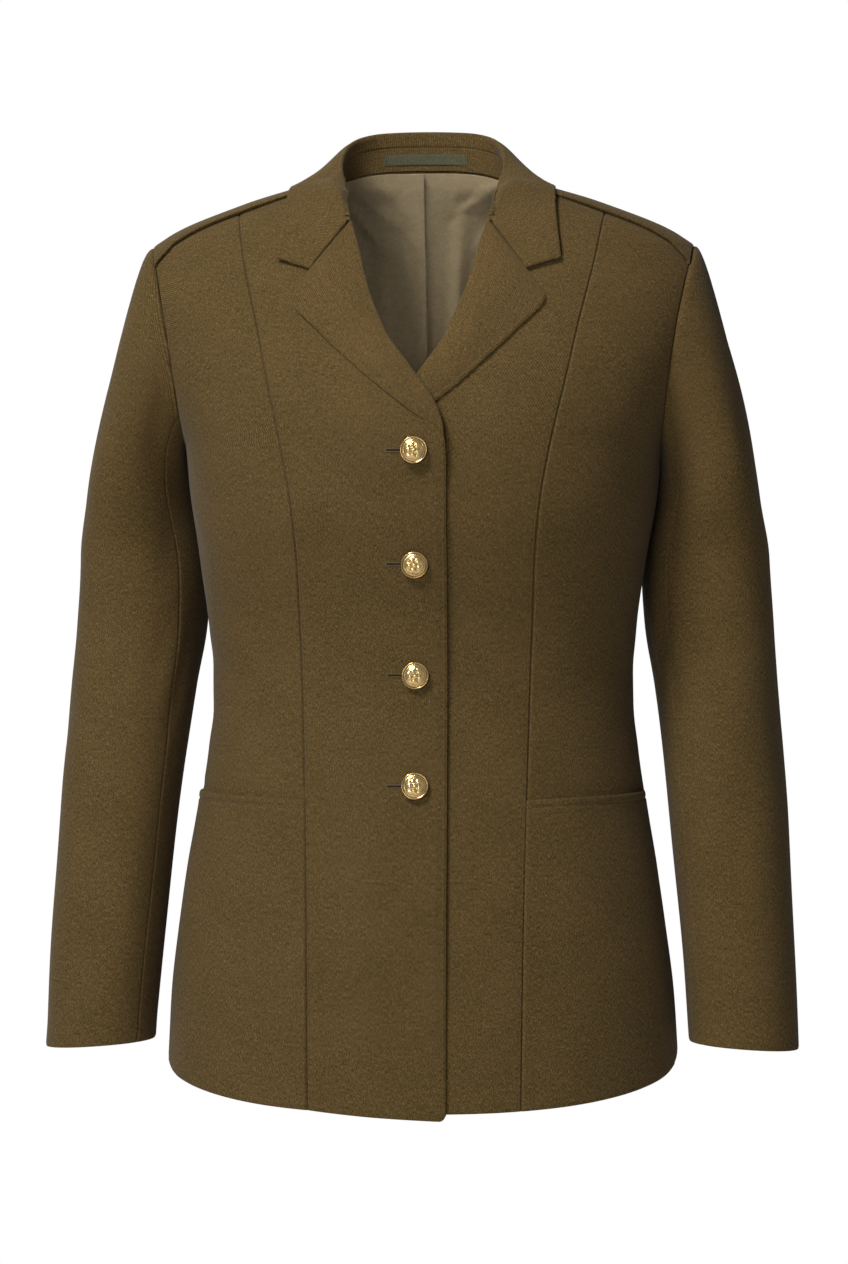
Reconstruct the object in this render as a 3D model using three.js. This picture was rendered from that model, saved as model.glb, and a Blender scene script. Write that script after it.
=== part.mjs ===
// A women's military dress tunic, kept in the form it has when worn, with nothing inside it.
// Single-breasted, four gilt buttons, notched collar and lapels, princess seams front and back,
// inset hip pockets, shoulder straps, plain two-piece sleeves and a back lining with a centre pleat.
//
// Millimetres. +Z is up, +X is the wearer's left and -Y is the front. The origin is midway between
// the two points where the shoulder seams meet the collar, which is where the wearer holds it up.
import * as THREE from "three";
import { mergeVertices } from "three/addons/utils/BufferGeometryUtils.js";

// ---------------------------------------------------------------- driving dimensions
const CLOTH = 1.6; // wall of the wool cloth
const FACED = 2.2; // wall of collar, lapels and straps: two layers of cloth
const LINING = 1.0; // wall of the satin lining
const UNDERARM_Z = -194; // level of the underarm points
const SHOULDER_Z = -52; // level of the points where sleeve, strap and shoulder seam meet
const NECK_X = 69; // half the neck width at the shoulder seams
const NAPE_Z = 13; // centre back of the neck seam
const HEM_Z = -634; // hem at the side seams
const HEM_DIP = 0.26; // how much lower the hem hangs for each millimetre further forward
const OVER_FRONT_DROP = 5; // the front that laps over hangs this much lower at its edge
const BUTTON_TOP_Z = -202.6;
const BUTTON_STEP = 79;
const BUTTON_COUNT = 4;
const BUTTON_R = 9.6; // 30-line button
const POCKET_Z = { seam: -449, side: -445 }; // pocket mouth at the princess and side seams
const ROWS = { skirt: 11, yoke: 9 }; // mesh rows below and above the underarm

// Half the body's width and its depths from the side line, at each level. Between the underarm and
// the shoulder point, side is where the armhole seam lies. Above, it is the shoulder seam. square is
// the exponent of the section: 2 is an ellipse, more is squarer.
const BODY = [
  { z: -690, side: 189.0, front: 136, back: 124, square: 2.3 },
  { z: -635, side: 185.5, front: 133, back: 122, square: 2.3 },
  { z: -591, side: 182.6, front: 130, back: 120, square: 2.3 },
  { z: -547, side: 177.3, front: 127, back: 117, square: 2.3 },
  { z: -503, side: 171.0, front: 122, back: 111, square: 2.3 },
  { z: -459, side: 163.2, front: 116, back: 102, square: 2.3 },
  { z: -415, side: 156.5, front: 110, back: 92, square: 2.3 },
  { z: -371, side: 153.0, front: 107, back: 86, square: 2.3 },
  { z: -327, side: 155.5, front: 110, back: 87, square: 2.35 },
  { z: -282, side: 161.5, front: 119, back: 93, square: 2.45 },
  { z: -238, side: 168.0, front: 127, back: 99, square: 2.5 },
  { z: -194, side: 173.0, front: 126, back: 103, square: 2.45 },
  { z: -150, side: 178.0, front: 115, back: 104, square: 2.35 },
  { z: -106, side: 185.0, front: 97, back: 98, square: 2.25 },
  { z: -78, side: 191.0, front: 82, back: 89, square: 2.2 },
  { z: -52, side: 196.0, front: 66, back: 77, square: 2.15 },
  { z: -45, side: 188.0, front: 62, back: 73.5, square: 2.15 },
  { z: -37.5, side: 175.0, front: 57.5, back: 69.5, square: 2.15 },
  { z: -22.5, side: 137.5, front: 49, back: 61, square: 2.1 },
  { z: -9, side: 98.0, front: 42, back: 54, square: 2.1 },
  { z: 0, side: 69.0, front: 38, back: 50, square: 2.1 },
  { z: 16, side: 66.5, front: 35, back: 44.5, square: 2.1 },
];
// Front edge, then roll line, then neck, measured out from the centre front line.
const FRONT_EDGE = [
  { z: -690, out: -22.4 },
  { z: -300, out: -22.4 },
  { z: -214, out: -22.4 },
  { z: -200, out: -21.8 },
  { z: -188, out: -20 },
  { z: -175, out: -16 },
  { z: -160, out: -7.5 },
  { z: -140, out: 6.5 },
  { z: -125, out: 17 },
  { z: -107, out: 25.5 },
  { z: -87, out: 33.5 },
  { z: -56, out: 42 },
  { z: -28, out: 50.5 },
  { z: -12, out: 59.5 },
  { z: 0, out: 69 },
];
const FRONT_PRINCESS = [
  { z: -690, out: 75 },
  { z: -547, out: 77 },
  { z: -459, out: 78.7 },
  { z: -371, out: 81 },
  { z: -327, out: 82.7 },
  { z: -282, out: 84.2 },
  { z: -238, out: 88.2 },
  { z: -194, out: 96.2 },
  { z: -150, out: 106.3 },
  { z: -106, out: 116 },
  { z: -62, out: 126.4 },
  { z: -21, out: 134 },
];
const BACK_PRINCESS = [
  { z: -690, out: 88 },
  { z: -503, out: 70 },
  { z: -371, out: 56 },
  { z: -238, out: 74 },
  { z: -150, out: 95 },
  { z: -62, out: 122 },
  { z: -21, out: 134 },
];
// The side seam, in degrees round from the centre front.
const SIDE_SEAM = [
  { z: -690, turn: 79 },
  { z: -560, turn: 82 },
  { z: -445, turn: 89 },
  { z: -371, turn: 90 },
  { z: -194, turn: 90 },
];
// The sleeve below the cap: centre, half width across, half depth front to back, and how far its
// section leans in against the body for each millimetre back.
const SLEEVE = [
  { z: -232, x: 206.3, y: 20, wide: 36.8, deep: 61, lean: 0.2 },
  { z: -276, x: 206.8, y: 27.5, wide: 44.8, deep: 58, lean: 0.17 },
  { z: -326, x: 209.8, y: 24, wide: 45.8, deep: 54, lean: 0.12 },
  { z: -370, x: 214.8, y: 14, wide: 44.6, deep: 52, lean: 0.05 },
  { z: -437, x: 221.4, y: -1, wide: 43.2, deep: 50, lean: 0 },
  { z: -503, x: 226.2, y: -13, wide: 41.6, deep: 47.5, lean: 0 },
  { z: -569, x: 230.8, y: -23, wide: 40.2, deep: 45.5, lean: 0 },
  { z: -628, x: 233.8, y: -31, wide: 38.9, deep: 44, lean: 0 },
];
const CAP_RINGS = 5;
const CAP_CROWDING = 1.4; // the rings of the cap lie closer together near the seam
const ARM_RINGS = 9;
const SLEEVE_FRONT_SEAM = 138; // degrees round the sleeve from its outer side, towards the front
const SLEEVE_BACK_SEAM = 300;
const CUFF_TILT = 0.07; // cuffs hang a little lower at the outer side
// The collar from the centre back to the front end: its fold line, and its outer edge given as
// distance across and level on the body, how far it stands off, and whether it is on the back half.
const COLLAR = [
  { x: 0, y: 47, z: 43.5, edgeX: 0, edgeZ: -4, lift: 5, back: true },
  { x: 20, y: 45.5, z: 43, edgeX: 27, edgeZ: -4, lift: 5, back: true },
  { x: 38, y: 39.5, z: 40.5, edgeX: 52, edgeZ: -5, lift: 5.5, back: true },
  { x: 52, y: 27, z: 34, edgeX: 74, edgeZ: -7.5, lift: 7, back: true },
  { x: 59, y: 12, z: 24, edgeX: 90, edgeZ: -11, lift: 7.8, back: true },
  { x: 61, y: -4, z: 11, edgeX: 95.5, edgeZ: -12, lift: 7.8, back: false },
  { x: 59, y: -21, z: -2, edgeX: 96.5, edgeZ: -24, lift: 6.8, back: false },
  { x: 55, y: -38, z: -15, edgeX: 98.5, edgeZ: -41, lift: 5.6, back: false },
  { x: 50.5, y: -51, z: -27, edgeX: 103, edgeZ: -59, lift: 5, back: false },
];
const STAND_SHARE = 0.5; // the stand's share of the inside of the neck, the rest is the collar
const LAPEL_TOP = { x: 50.5, z: -28 }; // where the roll line meets the gorge seam
const NOTCH = { x: 78, z: -67.5 };
const COLLAR_CORNER = { x: 103, z: -59 };
// The lapel's outer edge from its break up to its tip, then along its top edge to the notch.
const LAPEL_EDGE = [
  { along: 0, x: -17.6, z: -188.5 },
  { along: 0.14, x: 0, z: -178 },
  { along: 0.32, x: 25, z: -159 },
  { along: 0.5, x: 48, z: -138 },
  { along: 0.68, x: 70, z: -115 },
  { along: 0.86, x: 91, z: -88.5 },
  { along: 1, x: 78, z: -67.5 },
];
const LAPEL_TIP_AT = 0.86;
const LAPEL_RISE = 2.6; // how far the lapel rolls up off the chest between fold and edge
const STRAP = { outer: 46, inner: 40, seamX: 193.2, innerX: 80, point: 9 }; // widths, ends
const PLEAT = 12; // how far the centre pleat of the lining runs under
const LABEL = { half: 0.21, bottom: 0.13, top: 0.41, thick: 0.8 }; // shares of collar and stand

// ---------------------------------------------------------------- curves and sections
// A smooth curve through one column of a table, with no overshoot between its rows.
function column(table, key) {
  const rows = [...table].sort((a, b) => a.z - b.z);
  const n = rows.length;
  const slope = rows.slice(1).map((r, i) => (r[key] - rows[i][key]) / (r.z - rows[i].z));
  const tangent = rows.map((_, i) => {
    if (i === 0) return slope[0];
    if (i === n - 1) return slope[n - 2];
    if (slope[i - 1] * slope[i] <= 0) return 0;
    return (2 * slope[i - 1] * slope[i]) / (slope[i - 1] + slope[i]);
  });
  return (z) => {
    const at = Math.min(Math.max(z, rows[0].z), rows[n - 1].z);
    let i = 0;
    while (i < n - 2 && at > rows[i + 1].z) i++;
    const h = rows[i + 1].z - rows[i].z;
    const t = (at - rows[i].z) / h;
    const s = 1 - t;
    return (
      rows[i][key] * (1 + 2 * t) * s * s +
      tangent[i] * h * t * s * s +
      rows[i + 1][key] * (1 + 2 * s) * t * t -
      tangent[i + 1] * h * s * t * t
    );
  };
}
const side = column(BODY, "side");
const frontDepth = column(BODY, "front");
const backDepth = column(BODY, "back");
const square = column(BODY, "square");
const frontEdge = column(FRONT_EDGE, "out");
const frontPrincess = column(FRONT_PRINCESS, "out");
const backPrincess = column(BACK_PRINCESS, "out");
const sideTurn = column(SIDE_SEAM, "turn");

const lerp = (a, b, t) => a + (b - a) * t;
const ramp = (a, b, x) => {
  const t = Math.min(Math.max((x - a) / (b - a), 0), 1);
  return t * t * (3 - 2 * t);
};

// Half the depth of the armhole, front or back of the shoulder line, at each level.
function armholeDepth(z, back) {
  if (z <= UNDERARM_Z || z >= SHOULDER_Z) return 0;
  const t = (z - UNDERARM_Z) / (SHOULDER_Z - UNDERARM_Z);
  return (back ? 58 : 51) * 1.99 * t ** 0.45 * (1 - t) ** 0.55;
}

// Half width and depth of the section at a level. In the armhole's range the section is wider than
// the body, so that it passes through the armhole seam.
function section(z, back) {
  const n = square(z);
  const b = back ? backDepth(z) : frontDepth(z);
  const open = armholeDepth(z, back);
  return { a: side(z) / (1 - (open / b) ** n) ** (1 / n), b, n };
}

// The body's surface at a turn (degrees, 0 centre front, 90 side, 180 centre back) and level.
function onBody(turn, z) {
  const { a, b, n } = section(z, turn > 90);
  const s = Math.sin((turn * Math.PI) / 180);
  const c = Math.cos((turn * Math.PI) / 180);
  const r = (Math.abs(s / a) ** n + Math.abs(c / b) ** n) ** (-1 / n);
  return new THREE.Vector3(r * s, -r * c, z);
}
function bodyNormal(turn, z) {
  const e = 0.05;
  const low = turn > 90 ? turn : turn - 2 * e;
  const round = onBody(low + 2 * e, z).sub(onBody(low, z));
  const up = onBody(turn, z + 4 * e).sub(onBody(turn, z - 4 * e));
  return round.cross(up).normalize();
}
function lifted(turn, z, lift) {
  return onBody(turn, z).addScaledVector(bodyNormal(turn, z), lift);
}
// The turn at which the section lies at x.
function turnAt(x, z, back) {
  const { a, b, n } = section(z, back);
  const t = Math.min(Math.abs(x) / a, 1);
  const y = b * (1 - t ** n) ** (1 / n);
  const turn = (Math.atan2(x, y) * 180) / Math.PI;
  return back ? 180 - turn : turn;
}
// The level of the shoulder seam at x.
function shoulderZ(x) {
  let [low, high] = [SHOULDER_Z, 0];
  for (let i = 0; i < 40; i++) {
    const mid = (low + high) / 2;
    if (side(mid) > x) low = mid;
    else high = mid;
  }
  return (low + high) / 2;
}
function hemZ(turn) {
  return HEM_Z + HEM_DIP * Math.min(onBody(turn, HEM_Z).y, 0);
}

// ---------------------------------------------------------------- meshes
const group = new THREE.Group();
const material = (color, roughness, metalness) =>
  new THREE.MeshStandardMaterial({ color, roughness, metalness });
const WOOL = material("#5e4c2b", 0.9, 0);
const SATIN = material("#7a6c52", 0.45, 0);
const TAPE = material("#545f4c", 0.7, 0);
const GILT = material("#c9a24a", 0.25, 1);

function add(name, geometry, finish) {
  const mesh = new THREE.Mesh(geometry, finish);
  mesh.name = name;
  group.add(mesh);
}

// A closed wall round a grid of points on its middle surface. normals is a grid too, or null to
// work them out from the points. mirrored builds the other side of the body.
function wall(name, points, normals, thickness, finish, mirrored) {
  const [rows, cols] = [points.length, points[0].length];
  const at = (i, j) => points[Math.min(Math.max(i, 0), rows - 1)][Math.min(Math.max(j, 0), cols - 1)];
  const normal = (i, j) =>
    normals
      ? normals[i][j]
      : at(i, j + 1).clone().sub(at(i, j - 1)).cross(at(i + 1, j).clone().sub(at(i - 1, j))).normalize();
  const position = [];
  for (const lift of [thickness / 2, -thickness / 2])
    for (let i = 0; i < rows; i++)
      for (let j = 0; j < cols; j++) {
        const p = points[i][j].clone().addScaledVector(normal(i, j), lift);
        position.push(mirrored ? -p.x : p.x, p.y, p.z);
      }
  const [outer, inner] = [(i, j) => i * cols + j, (i, j) => rows * cols + i * cols + j];
  const index = [];
  const quad = (a, b, c, d) => index.push(...(mirrored ? [a, c, b, a, d, c] : [a, b, c, a, c, d]));
  for (let i = 0; i + 1 < rows; i++)
    for (let j = 0; j + 1 < cols; j++) {
      quad(outer(i, j), outer(i, j + 1), outer(i + 1, j + 1), outer(i + 1, j));
      quad(inner(i, j), inner(i + 1, j), inner(i + 1, j + 1), inner(i, j + 1));
    }
  for (let j = 0; j + 1 < cols; j++) {
    quad(outer(0, j), inner(0, j), inner(0, j + 1), outer(0, j + 1));
    const last = rows - 1;
    quad(outer(last, j), outer(last, j + 1), inner(last, j + 1), inner(last, j));
  }
  for (let i = 0; i + 1 < rows; i++) {
    quad(outer(i, 0), outer(i + 1, 0), inner(i + 1, 0), inner(i, 0));
    const last = cols - 1;
    quad(outer(i, last), inner(i, last), inner(i + 1, last), outer(i + 1, last));
  }
  const geometry = new THREE.BufferGeometry();
  geometry.setAttribute("position", new THREE.Float32BufferAttribute(position, 3));
  geometry.setIndex(index);
  geometry.computeVertexNormals();
  add(name, geometry, finish);
}
const grid = (rows, cols, point) =>
  Array.from({ length: rows + 1 }, (_, i) =>
    Array.from({ length: cols + 1 }, (_, j) => point(j / cols, i / rows)),
  );

// ---------------------------------------------------------------- body panels
// The level of a seam at v (0 hem, 1 top), with the same rows below the underarm on every seam.
const SKIRT_SHARE = ROWS.skirt / (ROWS.skirt + ROWS.yoke);
function level(v, hem, top) {
  return v < SKIRT_SHARE
    ? lerp(hem, UNDERARM_Z, v / SKIRT_SHARE)
    : lerp(UNDERARM_Z, top, 1 - ((1 - v) / (1 - SKIRT_SHARE)) ** 1.4);
}
// A place on the body's surface, from its distance across and its level.
function place(across, z, back) {
  const x = Math.min(across, side(z));
  return { x, turn: turnAt(x, z, back), z };
}
function sideAndArmhole(v, back) {
  const z = level(v, hemZ(85), SHOULDER_Z);
  if (z <= UNDERARM_Z) return { turn: sideTurn(z), z };
  const turn = (Math.atan2(side(z), armholeDepth(z, back)) * 180) / Math.PI;
  return { turn: back ? 180 - turn : turn, z };
}
const PRINCESS_TOP = 134; // where both princess seams meet the shoulder seam
const SEAMS = {
  frontEdge: (v) => {
    const z = level(v, hemZ(0), 0);
    return place(frontEdge(z), z, false);
  },
  frontPrincess: (v) => {
    const z = level(v, hemZ(30), shoulderZ(PRINCESS_TOP));
    return place(frontPrincess(z), z, false);
  },
  backPrincess: (v) => {
    const z = level(v, hemZ(150), shoulderZ(PRINCESS_TOP));
    return place(backPrincess(z), z, true);
  },
  centreBack: (v) => place(0, level(v, hemZ(180), NAPE_Z), true),
  frontSide: (v) => sideAndArmhole(v, false),
  backSide: (v) => sideAndArmhole(v, true),
};

// A panel between two seams. by is what its columns are spaced by: x on the front and back, turn on
// the sides. top gives its upper edge, lift how far it lies off the body, hem how far it is raised.
const SEAM_INSET = 0.2; // each panel stops this far short of its seam lines
const PANEL_WIDTH = { x: 80, turn: 90 }; // rough width of a panel, to turn the inset into a share
const PANEL_HEIGHT = 600;
function panel(name, cut) {
  const { left, right, by, back = false, cols, top, lift, s } = cut;
  const { hem = 0, wallOf = CLOTH, finish = WOOL } = cut;
  const inset = SEAM_INSET / PANEL_WIDTH[by];
  const hemShare = hem / (UNDERARM_Z - HEM_Z);
  const [tl, tr, bl, br] = [left(1), right(1), left(0), right(0)];
  const along = (u) => lerp(inset, 1 - inset, u);
  const spot = (uu, vv) => {
    const u = along(uu);
    const v = lerp(hemShare, 1 - SEAM_INSET / PANEL_HEIGHT, vv);
    const [l, r] = [left(v), right(v)];
    const t = top ? top(u) : { [by]: lerp(tl[by], tr[by], u), z: lerp(tl.z, tr.z, u) };
    const low = lerp(bl[by], br[by], u);
    const lowTurn = by === "x" ? turnAt(low, HEM_Z, back) : low;
    const atTop = v ** 3 * (t.z - lerp(tl.z, tr.z, u));
    const atHem = (1 - v) ** 3 * (hemZ(lowTurn) - lerp(bl.z, br.z, u));
    const z = lerp(l.z, r.z, u) + atTop + atHem;
    const at = lerp(l[by], r[by], u) + v ** 3 * (t[by] - lerp(tl[by], tr[by], u));
    return { turn: by === "x" ? turnAt(Math.min(at, side(z)), z, back) : at, z, u, v };
  };
  const spots = grid(ROWS.skirt + ROWS.yoke, cols, spot);
  const raise = (p) => (lift ? lift(p, s) : 0);
  const points = spots.map((row) =>
    row.map((p) => {
      const point = lifted(p.turn, p.z, raise(p));
      if (s < 0 && name.startsWith("front")) point.z -= frontDrop(p);
      return point;
    }),
  );
  const normals = spots.map((row) => row.map((p) => bodyNormal(p.turn, p.z)));
  wall(name, points, normals, wallOf, finish, s < 0);
}
// The front that laps over hangs a little lower towards its edge.
function frontDrop(p) {
  return OVER_FRONT_DROP * (1 - p.u) * (1 - ramp(0, 0.3, p.v));
}
// The wearer's right front laps over the left: the two are pushed apart where they cross.
const UNDER_SINK = 1.0;
const OVER_RISE = 1.5;
const LAPEL_LAP = 4.0; // and further where it crosses the other front's lapel
function overlapLift(p, s) {
  const x = onBody(p.turn, p.z).x;
  const near = (1 - ramp(26, 66, x)) * (1 - ramp(-150, -95, p.z));
  if (s > 0) return -UNDER_SINK * near;
  const lapelUnder = ramp(-235, -190, p.z) * (1 - ramp(-150, -105, p.z)) * (1 - ramp(10, 60, x));
  return OVER_RISE * near + LAPEL_LAP * lapelUnder;
}
// Below the pocket mouth the side front sinks under the pocket where it meets the princess seam.
function underPocketLift(p) {
  return -1.3 * (1 - ramp(POCKET_Z.side - 2, POCKET_Z.side + 14, p.z)) * (1 - ramp(0, 0.3, p.u));
}
// The back's upper edge: the shoulder seam, then the neck seam.
function backTopAt(x) {
  return { x, z: Math.abs(x) > NECK_X ? shoulderZ(Math.abs(x)) : NAPE_Z * (1 - (x / NECK_X) ** 2) };
}
const backTop = (u) => backTopAt(lerp(PRINCESS_TOP, 0, u));
function frontTop(u) {
  const x = lerp(NECK_X, PRINCESS_TOP, u);
  return { x, z: shoulderZ(x) };
}
const SIDES = [
  ["left", 1],
  ["right", -1],
];
for (const [word, s] of SIDES) {
  const { frontEdge: edge, frontPrincess: princess, frontSide, backSide, backPrincess, centreBack } = SEAMS;
  panel(`front_${word}`, {
    left: edge, right: princess, by: "x", cols: 7, top: frontTop, lift: overlapLift, s,
  });
  panel(`side_front_${word}`, {
    left: princess, right: frontSide, by: "turn", cols: 5, lift: underPocketLift, s,
  });
  panel(`side_back_${word}`, { left: backSide, right: backPrincess, by: "turn", cols: 5, s });
  panel(`back_${word}`, {
    left: backPrincess, right: centreBack, by: "x", back: true, cols: 6, top: backTop, s,
  });
}

// ---------------------------------------------------------------- hip pockets
// A pocket is a second layer on the lower side front, sewn in at both seams and open at its mouth.
const POCKET = { rows: 8, cols: 5, lift: 2.5, seamLift: 1.3 };
function pocketSpot(uu, vv) {
  const u = lerp(0.004, 0.996, uu);
  const mouth = lerp(POCKET_Z.seam, POCKET_Z.side, u);
  const rise = ((mouth - hemZ(60)) / (UNDERARM_Z - hemZ(60))) * SKIRT_SHARE;
  const [l, r] = [SEAMS.frontPrincess(vv * rise), SEAMS.frontSide(vv * rise)];
  const turn = lerp(l.turn, r.turn, u);
  return { turn, z: lerp(hemZ(turn), mouth, vv), u };
}
for (const [word, s] of SIDES) {
  const spots = grid(POCKET.rows, POCKET.cols, pocketSpot);
  const lift = (p) => lerp(POCKET.seamLift, POCKET.lift, ramp(0, 0.3, p.u));
  const points = spots.map((row) => row.map((p) => lifted(p.turn, p.z, lift(p))));
  const normals = spots.map((row) => row.map((p) => bodyNormal(p.turn, p.z)));
  wall(`pocket_${word}`, points, normals, CLOTH, WOOL, s < 0);
}

// ---------------------------------------------------------------- lapels
// A lapel is the top of the front edge turned back on to the chest, from its break to the gorge.
const ON_CHEST = (CLOTH + FACED) / 2 + 0.7; // from the body's surface to a lapel lying on it
const byAlong = (key) => column(LAPEL_EDGE.map((r) => ({ z: r.along, value: r[key] })), "value");
const LAPEL_X = byAlong("x");
const LAPEL_Z = byAlong("z");
function lapelEdge(v) {
  if (v <= LAPEL_TIP_AT) return { x: LAPEL_X(v), z: LAPEL_Z(v) };
  const t = (v - LAPEL_TIP_AT) / (1 - LAPEL_TIP_AT);
  const tip = LAPEL_EDGE[LAPEL_EDGE.length - 2];
  return { x: lerp(tip.x, NOTCH.x, t), z: lerp(tip.z, NOTCH.z, t) };
}
const LAPEL_ROWS = [0, 0.14, 0.28, 0.42, 0.57, 0.72, LAPEL_TIP_AT, 1];
const LAPEL_COLS = 5;
function lapelSpot(u, v) {
  const first = LAPEL_EDGE[0];
  const rollZ = lerp(first.z, LAPEL_TOP.z, v);
  const roll = { x: frontEdge(rollZ) + 0.2, z: rollZ };
  const edge = lapelEdge(v);
  return { x: lerp(roll.x, edge.x, u), z: lerp(roll.z, edge.z, u), u, v };
}
// Height over the front panel: a soft roll near the fold, lying down towards the edge.
function lapelRise(u, v) {
  const alongRoll = ramp(0.1, 0.5, v) * (1 - 0.6 * ramp(0.8, 1, v));
  return LAPEL_RISE * Math.sin(Math.PI * Math.min(u * 1.15, 1)) * alongRoll;
}
function bodySpot(x, z) {
  const turn = turnAt(Math.min(Math.abs(x), side(z) - 0.01), z, false);
  return x < 0 ? -turn : turn;
}
function chestPoint(x, z, lift) {
  const turn = Math.abs(bodySpot(x, z));
  const point = lifted(turn, z, lift);
  if (x < 0) point.x = -point.x;
  return point;
}
function frontLift(x, z, s) {
  return overlapLift({ turn: Math.abs(bodySpot(Math.max(x, 0), z)), z }, s);
}
for (const [word, s] of SIDES) {
  const spots = LAPEL_ROWS.map((v) =>
    Array.from({ length: LAPEL_COLS + 1 }, (_, j) => lapelSpot(j / LAPEL_COLS, v * 0.985)),
  );
  const points = spots.map((row) =>
    row.map((p) => chestPoint(p.x, p.z, frontLift(p.x, p.z, s) + ON_CHEST + lapelRise(p.u, p.v))),
  );
  wall(`lapel_${word}`, points, null, FACED, WOOL, s < 0);
}

// ---------------------------------------------------------------- collar and stand
const curve = (points) => new THREE.CatmullRomCurve3(points);
// A line given for the wearer's left from centre back to front, carried round both sides.
function bothSides(points) {
  const right = points.slice(1).reverse().map((p) => new THREE.Vector3(-p.x, p.y, p.z));
  return curve([...right, ...points]);
}
const foldPoints = COLLAR.map((c, i) =>
  i === COLLAR.length - 1
    ? chestPoint(LAPEL_TOP.x, LAPEL_TOP.z, ON_CHEST)
    : new THREE.Vector3(c.x, c.y, c.z),
);
const edgePoints = COLLAR.map((c) => {
  const turn = turnAt(Math.min(c.edgeX, side(c.edgeZ) - 0.01), c.edgeZ, c.back);
  return lifted(turn, c.edgeZ, c.lift);
});
// The neck seam: the back's neck edge, then the front's from the shoulder down to the gorge.
const neckPoints = COLLAR.map((c, i) => {
  const x = NECK_X * Math.sin((Math.min(i / 5, 1) * Math.PI) / 2);
  const backZ = NAPE_Z * (1 - (x / NECK_X) ** 2);
  if (i <= 5) return onBody(turnAt(x, backZ, true), backZ);
  const z = lerp(0, LAPEL_TOP.z, (i - 5) / 3);
  return onBody(turnAt(frontEdge(z), z, false), z);
});
const FOLD = bothSides(foldPoints);
const EDGE = bothSides(edgePoints);
const NECK = bothSides(neckPoints);
const COLLAR_COLS = 20;
const collarRows = [0, 0.12, 0.3, 0.5, 0.75, 1]; // from the fold to the outer edge
const GORGE_SHARE = 0.5; // row at which the collar's end turns from the gorge seam to its own end
function collarEnd(w) {
  if (w <= GORGE_SHARE) {
    const g = w / GORGE_SHARE;
    const [x, z] = [lerp(LAPEL_TOP.x, NOTCH.x, g), lerp(LAPEL_TOP.z, NOTCH.z, g)];
    return chestPoint(x, z, ON_CHEST + lapelRise(g, 1));
  }
  const t = (w - GORGE_SHARE) / (1 - GORGE_SHARE);
  const c = COLLAR[COLLAR.length - 1];
  const [x, z] = [lerp(NOTCH.x, COLLAR_CORNER.x, t), lerp(NOTCH.z, COLLAR_CORNER.z, t)];
  return chestPoint(x, z, lerp(ON_CHEST, c.lift, t));
}
// The collar's outer side at u (-1 right end, 0 centre back, 1 left end) and w (0 fold, 1 edge).
function collarFall(u, w) {
  const t = (u + 1) / 2;
  const [from, to] = [FOLD.getPoint(t), EDGE.getPoint(t)];
  const reach = from.distanceTo(to);
  const out = new THREE.Vector3(from.x, from.y * 0.9, 0).normalize();
  const start = out.multiplyScalar(reach * 0.42).add(new THREE.Vector3(0, 0, 4));
  const finish = to.clone().sub(from).multiplyScalar(0.75);
  const [w2, w3] = [w * w, w * w * w];
  const p = from
    .clone()
    .multiplyScalar(2 * w3 - 3 * w2 + 1)
    .addScaledVector(start, w3 - 2 * w2 + w)
    .addScaledVector(to, -2 * w3 + 3 * w2)
    .addScaledVector(finish, w3 - w2);
  const flat = from.clone().lerp(to, w);
  const frontness = ramp(0.55, 0.95, Math.abs(u));
  p.lerp(flat, frontness);
  const end = collarEnd(w);
  if (u < 0) end.x = -end.x;
  const toEnd = ramp(0.72, 1, Math.abs(u));
  return p.lerp(end, toEnd);
}
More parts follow.
